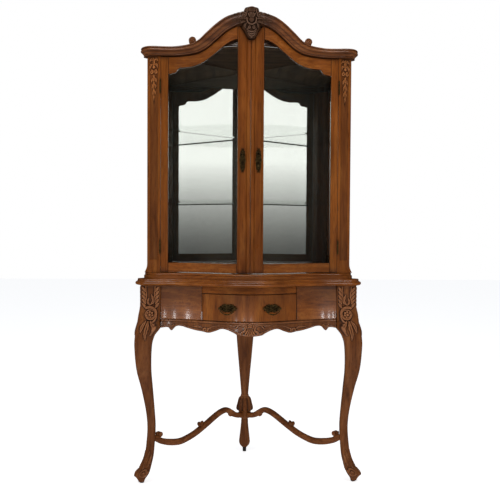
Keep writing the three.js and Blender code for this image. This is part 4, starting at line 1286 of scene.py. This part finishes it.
def make_doors():
    inner, outer = PANE_INNER + GAP, PANE_OUTER - GAP

    def top_front(x, z):
        slope = (pane_top(x + 1) - pane_top(x - 1)) / 2
        return door_front(x) + pane_moulding((z - pane_top(x)) / np.sqrt(1 + slope**2))

    xs = spaced(inner, outer, 90, 0.5)
    top = board(xs, pane_top, door_head, top_front, door_back, 60, 0.7)
    add_pair("door_", "_top_rail", "door_{}", "walnut_across", "walnut", *top)
    bottom_front = lambda x, z: door_front(x) + pane_moulding(PANE_BOTTOM - z)
    bottom = board(xs, level(DOOR_BOTTOM), level(PANE_BOTTOM), bottom_front, door_back, 44, 0.7)
    add_pair("door_", "_bottom_rail", "door_{}", "walnut_across", "walnut", *bottom)
    xs = spaced(PANE_OUTER, 377.8, 34, 0.7)
    hinge_front = lambda x, z: door_front(x) + pane_moulding(x - PANE_OUTER)
    hinge = board(xs, level(DOOR_BOTTOM), door_head, hinge_front, door_back, 40, 0.7)
    add_pair("door_", "_hinge_stile", "door_{}", "walnut_up", "walnut", *hinge)
    pane_front = lambda x, z=0: door_front(x) - 10
    xs = np.linspace(inner, outer, 40)
    pane_head, pane_back = lambda x: pane_top(x) - GAP, lambda x: pane_front(x) - 4
    pane = board(xs, level(PANE_BOTTOM + GAP), pane_head, pane_front, pane_back, 20, 0.2)
    add_pair("door_", "_glass", "door_{}", "glass", "glass", *pane)

    def strip_front(x, z):
        strip = STRIP_RISE * np.sqrt(np.clip(1 - (x / STRIP_HALF) ** 2, 0, 1))
        quirk = 1.6 * np.exp(-(((x - STRIP_HALF - 0.8) / 0.9) ** 2))
        return door_front(x) + strip - quirk + pane_moulding(PANE_INNER - x)

    notch = lambda x: np.minimum(cornice_under(x), pendant_edge(x)) - 3
    stile = board(spaced(0.7, PANE_INNER, 76, 0.5), level(DOOR_BOTTOM), notch, strip_front, door_back, 60, 0.6)
    add_pair("door_", "_meeting_stile", "door_{}", "stile_wood", "walnut", *stile)


def plate_outline(angle):
    wave = 0.84 + 0.09 * np.cos(2 * angle) + 0.05 * np.cos(10 * angle) + 0.05 * np.cos(16 * angle + 0.6)
    return 13.4 * wave * np.cos(angle), 66 * wave * np.sin(angle)


def carve_escutcheon(x, z):
    r = Relief(x, z)
    for side in (-1, 1):
        r.stroke(side_path(side, [(2, 50), (8, 42), (7, 32), (2, 27)], 20), 2.0, 2.4, 0.2)
        r.stroke(side_path(side, [(3, 22), (9, 12), (6, 0), (2, -6)], 22), 2.2, 2.6, 0.2)
        r.leaf(side_path(side, [(1, -12), (8, -20), (5, -33)], 12), 2.6, 2.4, 2)
        r.stroke(side_path(side, [(1, -36), (5, -44), (2, -54)], 14), 1.6, 2.0)
    r.shell(0, 40, 17, 45, 135, 3, 3.0)
    r.bead(0, -34, 3, 3.0)
    hole = np.hypot(x, z - 27.5) < 4.2
    r.height = np.where(hole, -1.4, r.height)
    return r


def make_lock_plates():
    for side, sign in (("left", -1), ("right", 1)):
        seat = Seat(lambda x, z: door_front(x), sign * LOCK_X, 1372.5, GAP)
        points, faces, marks = pierced_plate(seat, plate_outline, 1.6, carve_escutcheon, 26)
        # The keyhole is painted solid dark: painted shade in a shallow dip.
        hole = np.hypot(marks_grid_x(points, seat), points[:, 2] - LOCK_Z) < 4.0
        marks["cavity"] = np.where(hole, 1.0, marks["cavity"].ravel())
        make_piece(f"door_{side}_escutcheon_form", points, faces, f"door_{side}", "brass", "brass", f"door_{side}_escutcheon",
                   marks=marks)


def marks_grid_x(points, seat):
    """Distance of each point from the middle of its plate, along the surface."""
    return (points[:, 0] - seat.origin[0]) / math.cos(seat.angle)


def make_key():
    x, depth = -LOCK_X, float(door_front(LOCK_X))
    out = np.array((-33, -31, 5, 6.5, 9, 10.5, 14, 15.5, 17, 20))
    radius = (2.0, 2.4, 2.4, 4.0, 4.0, 2.4, 2.4, 3.4, 3.4, 2.2)
    turn = np.linspace(0, 2 * np.pi, 20, endpoint=False)
    shaft = loft([row(x + r * np.cos(turn), depth + o, LOCK_Z + r * np.sin(turn)) for o, r in zip(out, radius)])
    turn = np.linspace(0, 2 * np.pi, 41)[:-1]
    around = np.linspace(0, 2 * np.pi, 12, endpoint=False)
    rings = []
    for a in turn:
        middle = np.array((8.4 * math.cos(a), 11 * math.sin(a)))
        outward = np.array((math.cos(a), math.sin(a)))
        offset = np.cos(around)[:, None] * outward * 1.9
        rings.append(row(x + middle[0] + offset[:, 0], depth + 31 + middle[1] * 0.92 + offset[:, 1], LOCK_Z + 1.7 * np.sin(around)))
    rings = np.array(rings)
    count = rings.shape[1]
    faces = loft_faces(count, len(rings), close=False)
    last = (len(rings) - 1) * count
    faces += [(last + k, last + (k + 1) % count, (k + 1) % count, k) for k in range(count)]
    points, faces = join_solids(shaft, (rings.reshape(-1, 3), faces))
    make_piece("door_key_form", points, faces, "key", "brass", "brass", "door_key", 50)


# ---- plain CAD pieces that are seen as they are ----
PLAIN = {
    "cabinet_top": "inner_across", "back_panel_left": "inner_up", "back_panel_right": "inner_up",
    "back_rail_left": "inner_across", "back_rail_right": "inner_across",
    "drawer_runner_left": "inner_across", "drawer_runner_right": "inner_across",
    "shelf_rail_lower": "mirror", "shelf_rail_upper": "mirror",
    "back_mirror_left": "mirror", "back_mirror_right": "mirror",
    "shelf_lower": "shelf_glass", "shelf_upper": "shelf_glass",
    "drawer_side_left": "oak", "drawer_side_right": "oak", "drawer_back": "oak", "drawer_bottom": "oak",
    "lock_case": "brass", "lock_bolt": "brass",
    "glide_front_left": "pad", "glide_front_right": "pad", "glide_back": "pad",
}


def dress_plain_pieces():
    for name, node in NODES.items():
        if node.hide_render:
            continue
        material = PLAIN.get(name, "brass" if "hinge" in name else "walnut_up")
        node.data.materials.clear()
        node.data.materials.append(MATERIALS[material])


# ---- the studio ----
FLOOR_GLOW = 0.62


def make_floor():
    data = bpy.data.meshes.new("floor")
    far = 12.0
    data.from_pydata([(-far, -far, 0), (far, -far, 0), (far, far, 0), (-far, far, 0)], [], [(0, 1, 2, 3)])
    floor = bpy.data.objects.new("floor", data)
    bpy.context.scene.collection.objects.link(floor)
    material, n = new_material("pale_floor")
    place = n.add("ShaderNodeTexCoord").outputs["Object"]
    grit = n.noise(place, 3, 2)
    bump = n.add("ShaderNodeBump", {"Height": grit, "Strength": 0.02, "Distance": 0.001}).outputs[0]
    shader = n.add("ShaderNodeBsdfPrincipled", {
        "Base Color": (0.9, 0.9, 0.9, 1), "Roughness": 0.9, "Normal": bump,
        "Emission Color": (1, 1, 1, 1), "Emission Strength": FLOOR_GLOW,
    })
    n.add("ShaderNodeOutputMaterial", {"Surface": shader.outputs[0]})
    data.materials.append(material)
    floor.visible_glossy = False
    return floor


CARD_Y = -5.1
CARD_GAIN = 1.5
CARD_LOW, CARD_HIGH = 0.75, 1.82  # heights between which the card brightens
CARD_DARK = 0.08  # its share of full brightness at the lower height
CARD_BEND = 0.75  # 0 brightens evenly, 1 with the square of the height


def make_card():
    """A tall card behind the camera, bright above and dark towards the floor. Only reflections see it."""
    data = bpy.data.meshes.new("card")
    half, high = 1.6, 4.0
    corners = [(-half, CARD_Y, 0), (half, CARD_Y, 0), (half, CARD_Y, high), (-half, CARD_Y, high)]
    data.from_pydata(corners, [], [(0, 1, 2, 3)])
    card = bpy.data.objects.new("card", data)
    bpy.context.scene.collection.objects.link(card)
    material, n = new_material("graded_card")
    place = n.add("ShaderNodeTexCoord").outputs["Object"]
    up = n.add("ShaderNodeSeparateXYZ", {0: place}).outputs["Z"]
    above = n.math("DIVIDE", n.math("SUBTRACT", up, CARD_LOW), CARD_HIGH - CARD_LOW)
    share = n.math("MINIMUM", n.math("MAXIMUM", above, 0.0), 1.0)
    slope = n.math("ADD", n.math("MULTIPLY", share, CARD_BEND), 1 - CARD_BEND)
    bright = n.math("ADD", n.math("MULTIPLY", n.math("MULTIPLY", share, slope), 1 - CARD_DARK), CARD_DARK)
    glow = n.add("ShaderNodeEmission", {"Strength": n.math("MULTIPLY", bright, CARD_GAIN)})
    n.add("ShaderNodeOutputMaterial", {"Surface": glow.outputs[0]})
    data.materials.append(material)
    for kind in ("camera", "diffuse", "transmission", "volume_scatter", "shadow"):
        setattr(card, "visible_" + kind, False)
    return card


def aim_lights(bar, strips, card):
    """The bar shines on mouldings, the low strips on the frieze, and the card in the old mirrors."""
    mouldings = ("stand_top_form", "cabinet_base_form", "cornice_form", "apron_form")
    light_only(bar, [bpy.data.objects[name] for name in mouldings])
    panels = [bpy.data.objects[f"frieze_panel_{side}_form"] for side in ("left", "right")]
    front = [bpy.data.objects[name] for name in ("drawer_front_form", "apron_form")]
    for k, strip in enumerate(strips):
        light_only(strip, panels if k < len(PANEL_STRIPS) else front)
    light_only(card, [NODES["back_mirror_left"], NODES["back_mirror_right"]])


def make_world():
    world = bpy.data.worlds.new("studio")
    bpy.context.scene.world = world
    world.use_nodes = True
    n = Nodes(world.node_tree)
    path = n.add("ShaderNodeLightPath")
    soft = n.add("ShaderNodeBackground", {"Color": (0.92, 0.95, 1.0, 1), "Strength": 0.42})
    room = n.add("ShaderNodeBackground", {"Color": (0.9, 0.85, 0.8, 1), "Strength": 0.04})
    plain = n.add("ShaderNodeBackground", {"Color": (1, 1, 1, 1), "Strength": 1.0})
    lit = n.add("ShaderNodeMixShader", {0: path.outputs["Is Glossy Ray"], 1: soft.outputs[0], 2: room.outputs[0]})
    mixed = n.add("ShaderNodeMixShader", {0: path.outputs["Is Camera Ray"], 1: lit.outputs[0], 2: plain.outputs[0]})
    n.add("ShaderNodeOutputWorld", {"Surface": mixed.outputs[0]})
    bpy.context.scene.view_settings.view_transform = "Standard"


make_camera()
BAR, STRIPS = make_lights()
make_world()
make_stand_top()
make_front_legs()
make_back_leg()
make_frieze()
make_apron()
make_stretchers()
make_drawer()
make_handles()
make_cabinet_base()
make_pilasters()
make_cornice()
make_crest()
make_doors()
make_lock_plates()
make_key()
dress_plain_pieces()
CARD = make_card()
aim_lights(BAR, STRIPS, CARD)
make_floor()
